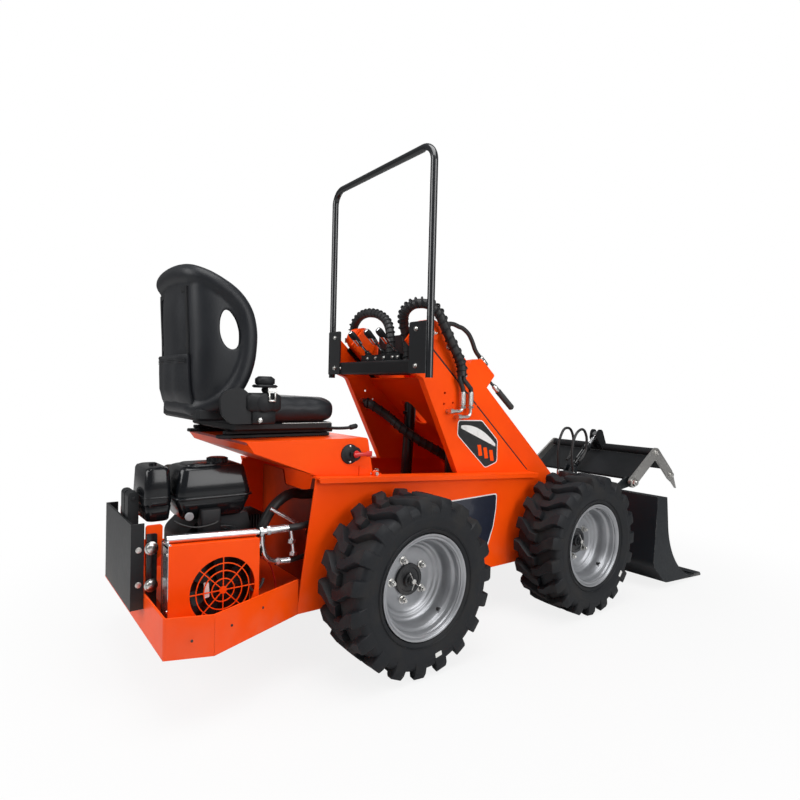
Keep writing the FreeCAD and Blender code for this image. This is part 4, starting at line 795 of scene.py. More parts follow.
for side in (-1, 1):
    boxed(base, spot(side * 0.150 - 0.016, 0.600, 0.7485), spot(side * 0.150 + 0.016, 0.995, 0.7600),
          0.002)
    boxed(base, spot(side * 0.150 - 0.011, 0.585, 0.7610), spot(side * 0.150 + 0.011, 0.975, 0.7730),
          0.002)
boxed(base, spot(-0.205, 0.612, 0.7745), spot(0.205, 0.965, 0.7990), 0.005)
base.run([spot(-0.150, 0.640, 0.780), spot(-0.200, 0.632, 0.779), spot(-0.226, 0.600, 0.778),
          spot(-0.234, 0.560, 0.780), spot(-0.235, 0.532, 0.786)], 0.0055, 12)
base.spin(spot(-0.235, 0.560, 0.780), (0, -1, 0.2),
          [(0, 0.0075), (0.004, 0.0092), (0.026, 0.0088), (0.030, 0.0060)], 16)
base.made("seat_slide_rails", plastic, "seat_deck", "black_plastic", 38, ["seat_mount"])
strips = Shape()
for side in (-1, 1):
    boxed(strips, spot(side * 0.2000 - 0.003, 0.615, 0.7925), spot(side * 0.2000 + 0.003, 0.800, 0.7985),
          0.0008)
strips.made("seat_slide_strips", zinc, "seat_deck")

belt = Shape()
boxed(belt, spot(-0.268, 0.832, 0.836), spot(-0.214, 0.942, 0.896), 0.010)
belt.spin(spot(-0.270, 0.887, 0.866), (1, 0, 0), [(0, 0.026), (0.003, 0.029), (0.050, 0.029)], 32)
boxed(belt, spot(-0.262, 0.850, 0.800), spot(-0.240, 0.925, 0.840), 0.003)
boxed(belt, spot(-0.262, 0.852, 0.918), spot(-0.214, 0.905, 0.948), 0.008)
boxed(belt, spot(-0.266, 0.846, 0.912), spot(-0.210, 0.911, 0.922), 0.004)
belt.made("belt_retractor", plastic, "seat_deck", angle=50)
strap = Shape()
rows = []
for k in range(12):
    share = k / 11
    along = 0.868 + 0.012 * math.sin(3.1 * share)
    rows.append([spot(-0.261, along - 0.0008, 0.890 + 0.030 * share),
                 spot(-0.217, along - 0.0008, 0.890 + 0.030 * share),
                 spot(-0.217, along + 0.0008, 0.890 + 0.030 * share),
                 spot(-0.261, along + 0.0008, 0.890 + 0.030 * share)])
strap.rings(rows)
webbing, webbing_shader, place = finish("belt_webbing", Roughness=0.8)
twill = place.node("TexWave", {"bands_direction": "DIAGONAL"},
                   {"Vector": place, "Scale": 260.0, "Distortion": 1.5})
feed(webbing_shader, Base_Color=twill.tint((0.012, 0.012, 0.013), (0.035, 0.035, 0.038)),
     Normal=twill.dents(0.3, 0.0004))
strap.made("belt_strap", webbing, "seat_deck")
tongue = Shape()
for side in (-1, 1):
    tongue.spin(spot(-0.274, 0.868 + side * 0.010, 0.906), (0, -side * 0.0015, -0.035),
                [(0, 0.0022), (0.001, 0.0030), (0.036, 0.0028)], 8)
tongue.spin(spot(-0.274, 0.857, 0.872), (0, 1, 0),
            [(0, 0.0025), (0.001, 0.0032), (0.021, 0.0032), (0.022, 0.0025)], 8)
boxed(tongue, spot(-0.277, 0.854, 0.900), spot(-0.271, 0.884, 0.910), 0.001)
tongue.made("belt_tongue", zinc, "seat_deck")
pivots = Shape()
for hand in (-1, 1):
    pivots.hex_head(spot(hand * 0.2600, 0.903, 0.812), (hand, 0, 0), 0.014, 0.006)
pivots.made("seat_pivot_bolts", zinc, "seat_deck")

# ------------------------------------------------------------------ console and its levers
# A black moulded console with plated screws and a small blank plate.
# Three chrome stems lean rearwards, each with a tapered black grip and a stepped boot.
dress(["console"], plastic)
dress(["control_levers"], chrome)
grips, boots = Shape(), Shape()
for across in (0.150, 0.030, -0.054):
    knee, top = spot(across, 0.238, 1.074), spot(across, 0.3215, 1.1495)
    lean = (top - knee).normalized()
    reach = (top - knee).length
    grips.spin(knee, lean, [(reach - 0.068, 0.0075), (reach - 0.066, 0.0100), (reach - 0.040, 0.0135),
                            (reach - 0.012, 0.0150), (reach - 0.002, 0.0146), (reach + 0.006, 0.0115),
                            (reach + 0.0085, 0.0060)], 28)
    boots.spin(spot(across, 0.230, 1.0605), (0, 0, 1),
               [(0, 0.0170), (0.002, 0.0175), (0.004, 0.0140), (0.006, 0.0155), (0.008, 0.0115),
                (0.010, 0.0130), (0.012, 0.0085), (0.015, 0.0070)], 28)
    boots.spin(knee, (1, 0, 0), [(-0.006, 0.009), (0.006, 0.009)], 20)
grips.made("lever_grips", plastic, "chassis")
boots.made("lever_boots", plastic, "chassis")
screws = Shape()
for hand in (-1, 1):
    screws.spin(spot(hand * 0.250, 0.3122, 1.004), (0, 1, 0),
                [(0, 0.0062), (0.0016, 0.0060), (0.0034, 0.0040), (0.0038, 0.0015)], 24)
for across in (-0.095, -0.060, 0.0, 0.060, 0.120):
    screws.hex_head(spot(across, 0.2552, 1.046), (0, 1, 0), 0.010, 0.004)
screws.made("console_screws", zinc, "chassis")
plate_metal, plate_shader, place = finish("blank_plate", Metallic=0.1, Coat_Weight=0.2)
soft = place.mottle(30.0, 3.0)
feed(plate_shader, Base_Color=soft.fade(0.3, 0.8).tint((0.33, 0.35, 0.37), (0.24, 0.26, 0.28)),
     Roughness=0.30 + 0.2 * soft)
plates = Shape()
boxed(plates, spot(0.035, 0.262, 1.0300), spot(0.105, 0.282, 1.0312), 0.0004)
plates.made("console_blank_plate", plate_metal, "chassis")

# ------------------------------------------------------------------ hydraulic hoses
# Black rubber hose with a cloth-marked skin, crimped into plated sleeves and hex nuts.
# Where two run together they are bound in a spiral of black plastic.
hose_skin, hose_shader, place = finish("hose_rubber", Specular_IOR_Level=0.45)
weave = place.node("TexVoronoi", {"feature": "F1"}, {"Vector": place, "Scale": 900.0})
rubbed = place.mottle(18.0, 4.0)
feed(hose_shader, Base_Color=rubbed.fade(0.4, 0.8).tint((0.0115, 0.0118, 0.0125), (0.026, 0.026, 0.027)),
     Roughness=0.40 + 0.15 * rubbed, Normal=weave.dents(0.10, 0.0004))
dress(["boom_hose", "tower_hose", "console_hoses", "cooler_hoses", "grapple_hoses"], hose_skin)
dress(["tower_fittings"], zinc)


def along_route(points, step):
    """Points a step apart along a smooth line through the given ones."""
    line = smooth_line(points, 40)
    even = [line[0]]
    gone = 0.0
    for first, second in zip(line, line[1:]):
        gone += (second - first).length
        if gone >= step:
            even.append(second)
            gone = 0.0
    return even


def spiral(shape, points, radius, pitch, thick):
    """A strip wound round a hose bundle, with so many points to each turn."""
    steps = 14
    coil = []
    for k, (point, side, other) in enumerate(carried(along_route(points, pitch / steps))):
        turn = 2 * math.pi * k / steps
        coil.append(point + (side * math.cos(turn) + other * math.sin(turn)) * radius)
    shape.run(coil, thick, 6, 1)


at_side = 0.303
right_way = [spot(*point) for point in ((-0.148, 0.245, 1.040), (-0.148, 0.245, 1.100),
                                        (-0.166, 0.284, 1.170), (-0.200, 0.306, 1.212),
                                        (-0.245, 0.300, 1.238), (-0.292, 0.266, 1.238),
                                        (-at_side, 0.222, 1.206), (-at_side, 0.175, 1.130),
                                        (-at_side, 0.118, 1.048), (-at_side, 0.098, 1.008),
                                        (-at_side, 0.098, 0.980))]
left_way = [spot(*point) for point in ((-0.008, 0.228, 1.066), (-0.008, 0.228, 1.115),
                                       (0.008, 0.222, 1.168), (0.050, 0.214, 1.212),
                                       (0.105, 0.218, 1.240), (0.178, 0.222, 1.250),
                                       (0.245, 0.222, 1.238), (0.297, 0.220, 1.195),
                                       (0.306, 0.205, 1.130), (at_side, 0.150, 1.058),
                                       (at_side, 0.098, 1.008), (at_side, 0.098, 0.980))]
wrap = Shape()
spiral(wrap, right_way, 0.0186, 0.015, 0.0042)
spiral(wrap, left_way, 0.0178, 0.015, 0.0030)
tower_way = [spot(*point) for point in ((0.238, 0.165, 0.848), (0.225, 0.165, 0.848),
                                        (0.166, 0.100, 0.792), (0.112, 0.072, 0.745),
                                        (0.048, 0.020, 0.692), (0.004, -0.044, 0.650),
                                        (-0.028, -0.124, 0.600), (-0.034, -0.200, 0.552),
                                        (-0.034, -0.276, 0.514))]
spiral(wrap, tower_way, 0.0198, 0.017, 0.0034)
wrap.made("hose_spiral_wrap", plastic, "chassis", angle=60)
crimps = Shape()
for hand in (-1, 1):
    for along, lift in ((0.089, 0.862), (0.047, 0.862)):
        foot = spot(hand * at_side, along, lift)
        rings = [(0.0, 0.0108)]
        for k in range(6):
            rings += [(0.004 + 0.0075 * k, 0.0118), (0.0085 + 0.0075 * k, 0.0118),
                      (0.0095 + 0.0075 * k, 0.0110)]
        crimps.spin(foot, (0, 0, 1), rings + [(0.0512, 0.0100)], 24)
        crimps.hex_head(foot - Vector((0, 0, 0.004)), (0, 0, -1), 0.021, 0.010, washer=False)
crimps.made("tower_hose_crimps", zinc, "chassis", angle=25)
ends = Shape()
for across in (0.052, -0.046):
    foot = spot(across, -0.985, 0.446)
    ends.hex_head(foot, (0, 0, 1), 0.018, 0.012, washer=False)
    ends.spin(foot + Vector((0, 0, 0.012)), (0, 0, 1),
              [(0, 0.0075), (0.003, 0.0088), (0.032, 0.0088), (0.035, 0.0078)], 24)
ends.made("bucket_hose_ends", zinc, "bucket")
arm_down = math.radians(41.6)


def on_arm(down, over, across):
    """A point measured down and square to the boom arm from its pivot."""
    return spot(across, pivot_along - down * math.cos(arm_down) - over * math.sin(arm_down),
                pivot_up - down * math.sin(arm_down) + over * math.cos(arm_down))


over_pivot = Shape()
over_pivot.run([on_arm(0.100, 0.143, -0.235), on_arm(0.094, 0.139, -0.235), on_arm(0.066, 0.124, -0.236),
                on_arm(0.046, 0.104, -0.236), on_arm(0.042, 0.084, -0.236)], 0.009, 16)
over_pivot.made("boom_hose_turn", hose_skin, "boom")
stub = Shape()
stub.spin(on_arm(0.042, 0.092, -0.236), on_arm(0, -1, 0) - on_arm(0, 0, 0),
          [(0, 0.0100), (0.002, 0.0118), (0.026, 0.0118), (0.028, 0.0095), (0.042, 0.0095)], 24)
first, last = on_arm(0.262, 0.133, -0.235), on_arm(0.312, 0.133, -0.235)
away = last - first
stub.spin(first, away, [(0, 0.0100), (0.002, 0.0124), (0.016, 0.0124), (0.018, 0.0112), (0.020, 0.0124),
                        (0.034, 0.0124), (0.036, 0.0105)], 24)
stub.hex_head(first + away.normalized() * 0.036, away, 0.022, 0.013, washer=False)
stub.made("boom_hose_fitting", zinc, "boom")

# ------------------------------------------------------------------ painted shadow strips and the lever's collar
# A thin black strip along each tower plate's front edge, in the gap beside the boom arm, is painted shadow of
# that gap.
# The latch lever's grip is held by a plated collar.
low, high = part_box("tower_side_plates")
# These black strips are painted shadow of the gap between each tower plate and the boom arm.
strips = Shape()
for side in (-1, 1):
    foot, head = Vector((0, low.y + 0.004, low.z + 0.002)), Vector((0, high.y - 0.010, high.z - 0.004))
    run_way = (head - foot).normalized()
    outward = Vector((0, -run_way.z, run_way.y))
    for start, stop in ((0.00, 0.495), (0.505, 0.93)):
        ring = []
        for share in (start, stop):
            base = foot + (head - foot) * share
            ring.append([base + outward * out + Vector((side * across, 0, 0))
                         for out, across in ((-0.012, 0.2675), (0.0095, 0.2675), (0.0110, 0.2690),
                                             (0.0110, 0.2715), (0.0095, 0.2728), (-0.012, 0.2728))])
        strips.rings(ring)
strips.made("tower_guide_strips", plastic, "chassis")
low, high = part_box("boom_latch_lever")
collar = Shape()
lower_end = Vector(((low.x + high.x) / 2, low.y + 0.009, low.z + 0.009))
upper_end = Vector(((low.x + high.x) / 2, high.y, high.z))
way = (upper_end - lower_end).normalized()
collar.spin(lower_end + way * 0.112, way,
            [(0, 0.0100), (0.002, 0.0112), (0.030, 0.0105), (0.033, 0.0082), (0.040, 0.0078)], 24)
collar.made("latch_collar", zinc, "boom")

# ------------------------------------------------------------------ engine
# An upright single in cast alloy under black covers: slotted recoil cover, moulded tank and air box.
# Its small fittings are a ribbed filler cap, an air box knob, a switch, a thin line and a choke knob.
cast, cast_shader, place = finish("cast_alloy", Metallic=0.55)
grain = place.mottle(260.0, 4.0)
oily = place.mottle(12.0, 5.0)
feed(cast_shader, Base_Color=oily.fade(0.35, 0.8).tint((0.030, 0.031, 0.034), (0.012, 0.012, 0.012)),
     Roughness=0.38 + 0.25 * grain, Normal=grain.dents(0.3, 0.0010))
gloss_plastic = coated("engine_cover", (0.0062, 0.0072, 0.0090), (0.0046, 0.0052, 0.0064), 0.22,
                       (0.06, 0.06, 0.065), 0.3, 0.2, 0.5)
dress(["engine_block", "hydraulic_pump", "wheel_motors"], cast)
heat_black = coated("heat_black", (0.020, 0.019, 0.018), (0.045, 0.034, 0.027), 0.55, (0.20, 0.14, 0.10),
                    0.5, 0.3, 0.0)
dress(["engine_muffler"], heat_black)


def moulded(shape, low, high, ease, corner, draft_low=0.0, draft_high=0.0):
    """A moulded cover: round upright corners, eased edges, and sides that draw in at either end."""
    (a, b, c), (d, e, f) = low, high
    tall = f - c
    rows = []
    steps = [(0.0, 1.0), (0.30, 0.30), (1.0, 0.0)]
    levels = [(ease * share, ease * draw) for share, draw in steps]
    levels += [(tall - ease * share, ease * draw) for share, draw in steps[::-1]]
    for rise, draw in levels:
        inset = draw + draft_low * (1 - rise / tall) + draft_high * (rise / tall)
        row = []
        for corner_x, corner_y, start in ((d - inset, e - inset, 0), (a + inset, e - inset, 90),
                                          (a + inset, b + inset, 180), (d - inset, b + inset, 270)):
            for i in range(7):
                turn = math.radians(start + 15 * i)
                middle_x = corner_x - math.copysign(corner, corner_x - (a + d) / 2)
                middle_y = corner_y - math.copysign(corner, corner_y - (b + e) / 2)
                row.append(Vector((middle_x + math.cos(turn) * corner, middle_y + math.sin(turn) * corner,
                                   c + rise)))
        rows.append(row)
    return shape.rings(rows)


tank_low, tank_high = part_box("engine_fuel_tank")
tank = Shape()
lip = spot(0, 0, 0.570).z
moulded(tank, (tank_low.x + 0.006, tank_low.y + 0.006, 0.500),
        (tank_high.x - 0.006, tank_high.y - 0.006, lip), 0.012, 0.022, 0.022, 0.0)
moulded(tank, (tank_low.x, tank_low.y, lip - 0.0032), (tank_high.x, tank_high.y, lip + 0.0036), 0.002,
        0.030)
moulded(tank, (tank_low.x + 0.005, tank_low.y + 0.005, lip),
        (tank_high.x - 0.005, tank_high.y - 0.005, 0.6640), 0.010, 0.024, 0.0, 0.018)
moulded(tank, (tank_low.x + 0.040, tank_low.y + 0.040, 0.6560),
        (tank_high.x - 0.040, tank_high.y - 0.045, 0.6690), 0.006, 0.020)
cap_at = spot(-0.095, 0.975, 0.0)
tank.spin(Vector((cap_at.x, cap_at.y, 0.655)), (0, 0, 1),
          [(0, 0.036), (0.014, 0.036), (0.016, 0.032), (0.0275, 0.031), (0.030, 0.026)], 40)
for i in range(16):
    turn = 2 * math.pi * i / 16
    foot = Vector((cap_at.x + 0.0315 * math.cos(turn), cap_at.y + 0.0315 * math.sin(turn), 0.669))
    tank.spin(foot, (0, 0, 1), [(0, 0.0022), (0.013, 0.0022), (0.014, 0.0010)], 6)
tank.made("fuel_tank_moulded", gloss_plastic, "chassis", "engine_black", 40, ["engine_fuel_tank"])

air_low, air_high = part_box("engine_air_cleaner")
air = Shape()
moulded(air, (air_low.x + 0.004, air_low.y + 0.0005, air_low.z),
        (air_high.x - 0.004, air_high.y - 0.004, 0.556), 0.006, 0.014, 0.006)
moulded(air, (air_low.x, air_low.y + 0.0005, 0.548), (air_high.x, air_high.y, 0.6670), 0.012, 0.018, 0.0,
        0.005)
moulded(air, (air_low.x - 0.0005, air_low.y + 0.0002, 0.576),
        (air_high.x + 0.0005, air_high.y + 0.0005, 0.580), 0.001, 0.018)
knob = spot(-0.070, 1.166, 0)
air.spin(Vector((knob.x, knob.y, 0.664)), (0, 0, 1),
         [(0, 0.008), (0.003, 0.008), (0.0035, 0.0115), (0.0095, 0.0118), (0.011, 0.009)], 24)
air.made("air_cleaner_moulded", gloss_plastic, "chassis", "engine_black", 40, ["engine_air_cleaner"])

cover = Shape()
crank = spot(-0.1462, 0.975, 0.360)
cover.spin(crank, (-1, 0, 0), [(-0.010, 0.1115), (-0.001, 0.1115), (-0.0003, 0.108)], 64)
for ring, count, size in ((0.096, 22, 0.0042), (0.082, 20, 0.0040)):
    for i in range(count):
        turn = 2 * math.pi * i / count
        out = Vector((0, math.cos(turn), math.sin(turn)))
        over = Vector((0, -math.sin(turn), math.cos(turn)))
        middle = crank + out * ring + Vector((-0.0006, 0, 0))
        rows = []
        for depth, draw in ((0, 0.0), (-0.0010, 0.0008)):
            rows.append([middle + Vector((depth, 0, 0)) + out * a * (0.0060 - draw) + over * b
                         * (size - draw) for a, b in ((-1, -0.6), (-0.8, -1), (0.8, -1), (1, -0.6),
                                                      (1, 0.6), (0.8, 1), (-0.8, 1), (-1, 0.6))])
        cover.rings(rows)
cover.spin(crank + Vector((0.001, 0, 0)), (-1, 0, 0), [(0, 0.064), (0.008, 0.0635), (0.0095, 0.0610)], 48)
cover.made("recoil_slots", gloss_plastic, "chassis", angle=30)
box_low, box_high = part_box("engine_switch")
switch = Shape()
moulded(switch, (box_low.x, box_low.y, box_low.z), (box_high.x, box_high.y, box_high.z + 0.036), 0.004,
        0.006)
switch.spin(Vector((box_low.x + 0.001, (box_low.y + box_high.y) / 2 + 0.012, box_low.z + 0.026)),
            (-1, 0, 0), [(-0.004, 0.0105), (0.0005, 0.0105), (0.0009, 0.0085)], 24)
switch.made("engine_switch_moulded", plastic, "chassis", "black_plastic", 40, ["engine_switch"])
fittings = Shape()
fittings.run([spot(-0.184, 1.000, 0.505), spot(-0.190, 1.010, 0.492), spot(-0.192, 1.060, 0.486),
              spot(-0.186, 1.100, 0.494), spot(-0.160, 1.124, 0.506)], 0.0032, 10)
fittings.made("engine_small_lines", hose_skin, "chassis")


def two_tone(name, scale, first, second, **constants):
    """A plain finish that wanders between two close colours."""
    material, shader, place = finish(name, **constants)
    feed(shader, Base_Color=place.mottle(scale).tint(first, second))
    return material


knob_grey = two_tone("grey_knob", 60, (0.20, 0.20, 0.21), (0.30, 0.30, 0.31), Roughness=0.45)
choke = Shape()
choke.spin(spot(-0.181, 1.088, 0.520), (-1, 0, 0),
           [(-0.010, 0.006), (0.0, 0.006), (0.001, 0.0125), (0.006, 0.0130), (0.008, 0.0105)], 28)
choke.made("choke_knob", knob_grey, "chassis")

# ------------------------------------------------------------------ oil cooler
# An orange box with a finned core, a black fan and a bright header pipe joined on by hex unions.
# Beside it are a blank label, a red battery wire, bright stays and the fan's lead.
dress(["cooler_fan"], plastic)
fin_metal, fin_shader, place = finish("cooler_fins", Metallic=0.8)
lines = place.node("TexWave", {"bands_direction": "Y", "wave_profile": "SAW"},
                   {"Vector": place, "Scale": 95.0})
dirt = place.mottle(22.0, 5.0).fade(0.4, 0.75)
feed(fin_shader, Base_Color=dirt.tint((0.10, 0.10, 0.105), (0.035, 0.032, 0.030)),
     Roughness=0.45 + 0.2 * dirt, Normal=lines.dents(0.8, 0.0015))
dress(["cooler_core"], fin_metal)
bright, bright_shader, place = finish("bright_pipe", Metallic=1.0)
turning = place.mottle(500.0, 2.0)
feed(bright_shader, Base_Color=turning.fade(0.2, 0.9).tint((0.74, 0.75, 0.77), (0.60, 0.61, 0.63)),
     Roughness=0.20 + 0.12 * turning)
dress(["cooler_header"], bright)
flange = Shape()
boxed(flange, spot(-0.3040, 1.1745, 0.208), spot(-0.2500, 1.1790, 0.470), 0.0008)
boxed(flange, spot(-0.3046, 1.1700, 0.462), spot(-0.2500, 1.1790, 0.4735), 0.0008)
flange.made("cooler_rear_flange", bright, "chassis")
unions = Shape()
front = 0.914
for start, size, length in ((0.010, 0.0255, 0.012), (0.034, 0.0255, 0.012)):
    unions.hex_head(spot(-0.275, front - start, 0.4693), (0, -1, 0), size, length, washer=False)
for k in range(6):
    unions.spin(spot(-0.275, front - 0.048 - 0.009 * k, 0.4693), (0, -1, 0),
                [(0, 0.0118), (0.001, 0.0126), (0.0065, 0.0126), (0.0075, 0.0118)], 28)
unions.run([spot(-0.275, 0.896, 0.456), spot(-0.275, 0.894, 0.430), spot(-0.273, 0.886, 0.398),
            spot(-0.268, 0.872, 0.379), spot(-0.264, 0.855, 0.3685), spot(-0.262, 0.838, 0.364)], 0.0088,
           14)
unions.hex_head(spot(-0.262, 0.842, 0.3648), (0, -1, -0.14), 0.022, 0.012, washer=False)
unions.spin(spot(-0.262, 0.829, 0.363), (0, -1, -0.08),
            [(0, 0.0098), (0.002, 0.0112), (0.034, 0.0112), (0.036, 0.0098)], 24)
unions.made("cooler_unions", bright, "chassis", angle=30)
screws = Shape()
for lift in (0.300, 0.430):
    screws.hex_head(spot(-0.286, 0.9132, lift), (0, -1, 0), 0.013, 0.006)
for lift in (0.288, 0.446):
    screws.spin(spot(-0.296, 1.1785, lift), (0, 1, 0),
                [(0, 0.0052), (0.0012, 0.0050), (0.0028, 0.0034), (0.0030, 0.0012)], 18)
screws.made("cooler_screws", zinc, "chassis")
label_white, label_shader, place = finish("blank_label", Roughness=0.4, Coat_Weight=0.3)
grime = place.mottle(50.0, 4.0).fade(0.4, 0.8)
feed(label_shader, Base_Color=grime.tint((0.72, 0.72, 0.70), (0.55, 0.54, 0.51)))


def decal(shape, corners, rise):
    """A thin film with its outline rounded at each corner: corners are (point, rounding)."""
    flat = []
    count = len(corners)
    for k, (point, rounding) in enumerate(corners):
        before, after = corners[k - 1][0], corners[(k + 1) % count][0]
        first = (before - point).normalized() * rounding
        last = (after - point).normalized() * rounding
        for i in range(6 if rounding else 1):
            t = i / 5 if rounding else 0.5
            flat.append(point + first * (1 - t) ** 2 + last * t ** 2)
    shape.rings([flat, [point + rise for point in flat]])
    return shape


label = Shape()
decal(label, [(spot(-0.2990, 1.079, 0.352), 0.003), (spot(-0.2990, 1.064, 0.350), 0.003),
              (spot(-0.2990, 1.062, 0.308), 0.003), (spot(-0.2990, 1.077, 0.306), 0.003)],
      Vector((-0.0004, 0, 0)))
boxed(label, spot(-0.2988, 1.064, 0.312), spot(-0.2900, 1.076, 0.346), 0.001)
label.made("cooler_label_blank", label_white, "chassis")
wires = Shape()
wires.run([spot(-0.220, 0.872, 0.372), spot(-0.221, 0.858, 0.361), spot(-0.220, 0.844, 0.347),
           spot(-0.219, 0.833, 0.325), spot(-0.220, 0.827, 0.302), spot(-0.220, 0.821, 0.270),
           spot(-0.220, 0.835, 0.226)], 0.0022, 8)
red_wire = two_tone("red_wire", 80, (0.45, 0.01, 0.01), (0.35, 0.01, 0.01), Roughness=0.4)
wires.made("red_battery_wire", red_wire, "chassis")
straps = Shape()
straps.run([spot(-0.222, 0.846, 0.526), spot(-0.222, 0.806, 0.501), spot(-0.222, 0.762, 0.473),
            spot(-0.222, 0.715, 0.443)], 0.0072, 10)
straps.run([spot(-0.262, 0.792, 0.464), spot(-0.262, 0.788, 0.440), spot(-0.262, 0.784, 0.410),
            spot(-0.262, 0.780, 0.376)], 0.0075, 14)
straps.hex_head(spot(-0.262, 0.787, 0.428), (0, 0.1, -1), 0.023, 0.014, washer=False)
straps.hex_head(spot(-0.262, 0.781, 0.386), (0, 0.1, -1), 0.023, 0.012, washer=False)
straps.made("bright_stays", bright, "chassis")
lead = Shape()
lead.run([spot(-0.292, 0.895, 0.330), spot(-0.296, 0.903, 0.312), spot(-0.297, 0.918, 0.298),
          spot(-0.297, 0.934, 0.302), spot(-0.294, 0.944, 0.322)], 0.0048, 10)
lead.made("fan_lead", hose_skin, "chassis")

# ------------------------------------------------------------------ rear plate and its brackets
# A dark steel plate stands behind the engine, with black channels held by plated domed bolts.
# Two rounded black pads are its catches.
plate_grey = coated("plate_grey", (0.0125, 0.0140, 0.0155), (0.0190, 0.0200, 0.0215), 0.42,
                    (0.16, 0.155, 0.15), 0.4, 0.3, 0.1)
dress(["counterweight_plate"], plate_grey)
dress(["rear_channels"], satin_black)
domes = Shape()
for hand in (-1, 1):
    for lift in (0.440, 0.332):
        domes.spin(spot(hand * 0.1815, 1.193, lift), (hand, 0, 0),
                   [(0, 0.0190), (0.002, 0.0192), (0.0035, 0.0150), (0.007, 0.0135), (0.010, 0.0090),
                    (0.0112, 0.0030)], 32)
    for lift in (0.440, 0.340):
        domes.spin(spot(hand * 0.1855, 1.2283, lift), (hand, 0, 0),
                   [(0, 0.0085), (0.0010, 0.0085), (0.0014, 0.0070)], 20)
domes.made("channel_bolts", zinc, "chassis")
catches = Shape()
for across in (-0.094, -0.042):
    rows = []
    for draw, out in ((0.0, 0.0), (0.0, 0.040)):
        row = [spot(across + out, 1.212, 0.516), spot(across + out, 1.238, 0.516)]
        row += [spot(across + out, 1.225 + 0.013 * math.cos(math.radians(15 * i)),
                     0.580 + 0.0115 * math.sin(math.radians(15 * i))) for i in range(13)]
        rows.append(row)
    catches.rings(rows)
    catches.hex_head(spot(across - 0.0004, 1.225, 0.572), (-1, 0, 0), 0.012, 0.004)
catches.made("rear_catch_pads", plastic, "chassis")

# ------------------------------------------------------------------ stickers and painted panels
# Thin printed film with rounded corners: a bordered navy panel on the side plate and a badge on the tower.
# The badge is a plain design of a swept bar and three ticks in black, white and orange.


def film(name, printed, rubbed_down):
    """Printed film with a clear hard face, rubbed in patches."""
    material, shader, place = finish(name, Coat_Weight=0.5, Coat_Roughness=0.08, Roughness=0.32)
    feed(shader, Base_Color=place.mottle(40.0, 4.0).fade(0.45, 0.8).tint(printed, rubbed_down))
    return material


navy = film("navy_film", (0.010, 0.013, 0.026), (0.014, 0.018, 0.034))
white_film = film("white_film", (0.78, 0.78, 0.77), (0.66, 0.65, 0.63))
black_film = film("black_film", (0.012, 0.012, 0.013), (0.022, 0.022, 0.024))
for hand in (-1, 1):
    wall = hand * 0.3121
    border, field = Shape(), Shape()
    for shape, inset, rise in ((border, 0.0, 0.0003), (field, 0.0045, 0.0006)):
        corners = [(spot(wall, 0.156 - inset, 0.496 - inset), 0.014),
                   (spot(wall, -0.108 + inset, 0.502 - inset), 0.014),
                   (spot(wall, -0.105 + inset, 0.440), 0.0), (spot(wall, -0.092 + inset, 0.370), 0.0),
                   (spot(wall, -0.058 + inset * 1.2, 0.283 + inset), 0.016),
                   (spot(wall, 0.149 - inset, 0.306 + inset), 0.016)]
        decal(shape, corners, Vector((hand * rise, 0, 0)))
    border.made("side_panel_border", white_film, "chassis")
    field.made("side_panel_navy", navy, "chassis")
    tower = hand * 0.2791
    for name, film, inset, rise in (("edge", white_film, 0.0, 0.0002),
                                    ("ground", black_film, 0.0035, 0.0004)):
        badge = Shape()
        decal(badge,
              [(spot(tower, 0.089 - inset, 0.802 - inset), 0.012),
               (spot(tower, -0.044 + inset * 0.4, 0.800 - inset), 0.012),
               (spot(tower, -0.138 + inset, 0.716 - inset * 0.4), 0.012),
               (spot(tower, -0.138 + inset, 0.624 + inset * 0.6), 0.012),
               (spot(tower, -0.068, 0.603 + inset), 0.012),
               (spot(tower, 0.092 - inset, 0.743 + inset * 0.4), 0.012)], Vector((hand * rise, 0, 0)))
        badge.made(f"tower_badge_{name}", film, "chassis")
    sweep = Shape()
    rows = []
    for i in range(25):
        t = i / 24
        along = 0.072 - 0.196 * t
        middle = 0.775 - 0.030 * t - 0.050 * t * t
        wide = 0.005 + 0.013 * math.sin(math.pi * t) ** 0.8
        rows.append([spot(tower + hand * depth, along, middle + wide * part)
                     for depth, part in ((0.0003, -1), (0.0003, 1), (0.0007, 1), (0.0007, -1))])
    sweep.rings(rows)
    sweep.made("tower_badge_sweep", white_film, "chassis", angle=60)
    ticks = Shape()
    for i in range(3):
        along, up = -0.020 - 0.034 * i, 0.700 - 0.012 * i
        decal(ticks,
              [(spot(tower + hand * 0.0003, along, up), 0.002),
               (spot(tower + hand * 0.0003, along - 0.020, up), 0.002),
               (spot(tower + hand * 0.0003, along - 0.030, up - 0.045), 0.002),
               (spot(tower + hand * 0.0003, along - 0.010, up - 0.045), 0.002)],
              Vector((hand * 0.0005, 0, 0)))
    ticks.made("tower_badge_ticks", orange, "chassis")

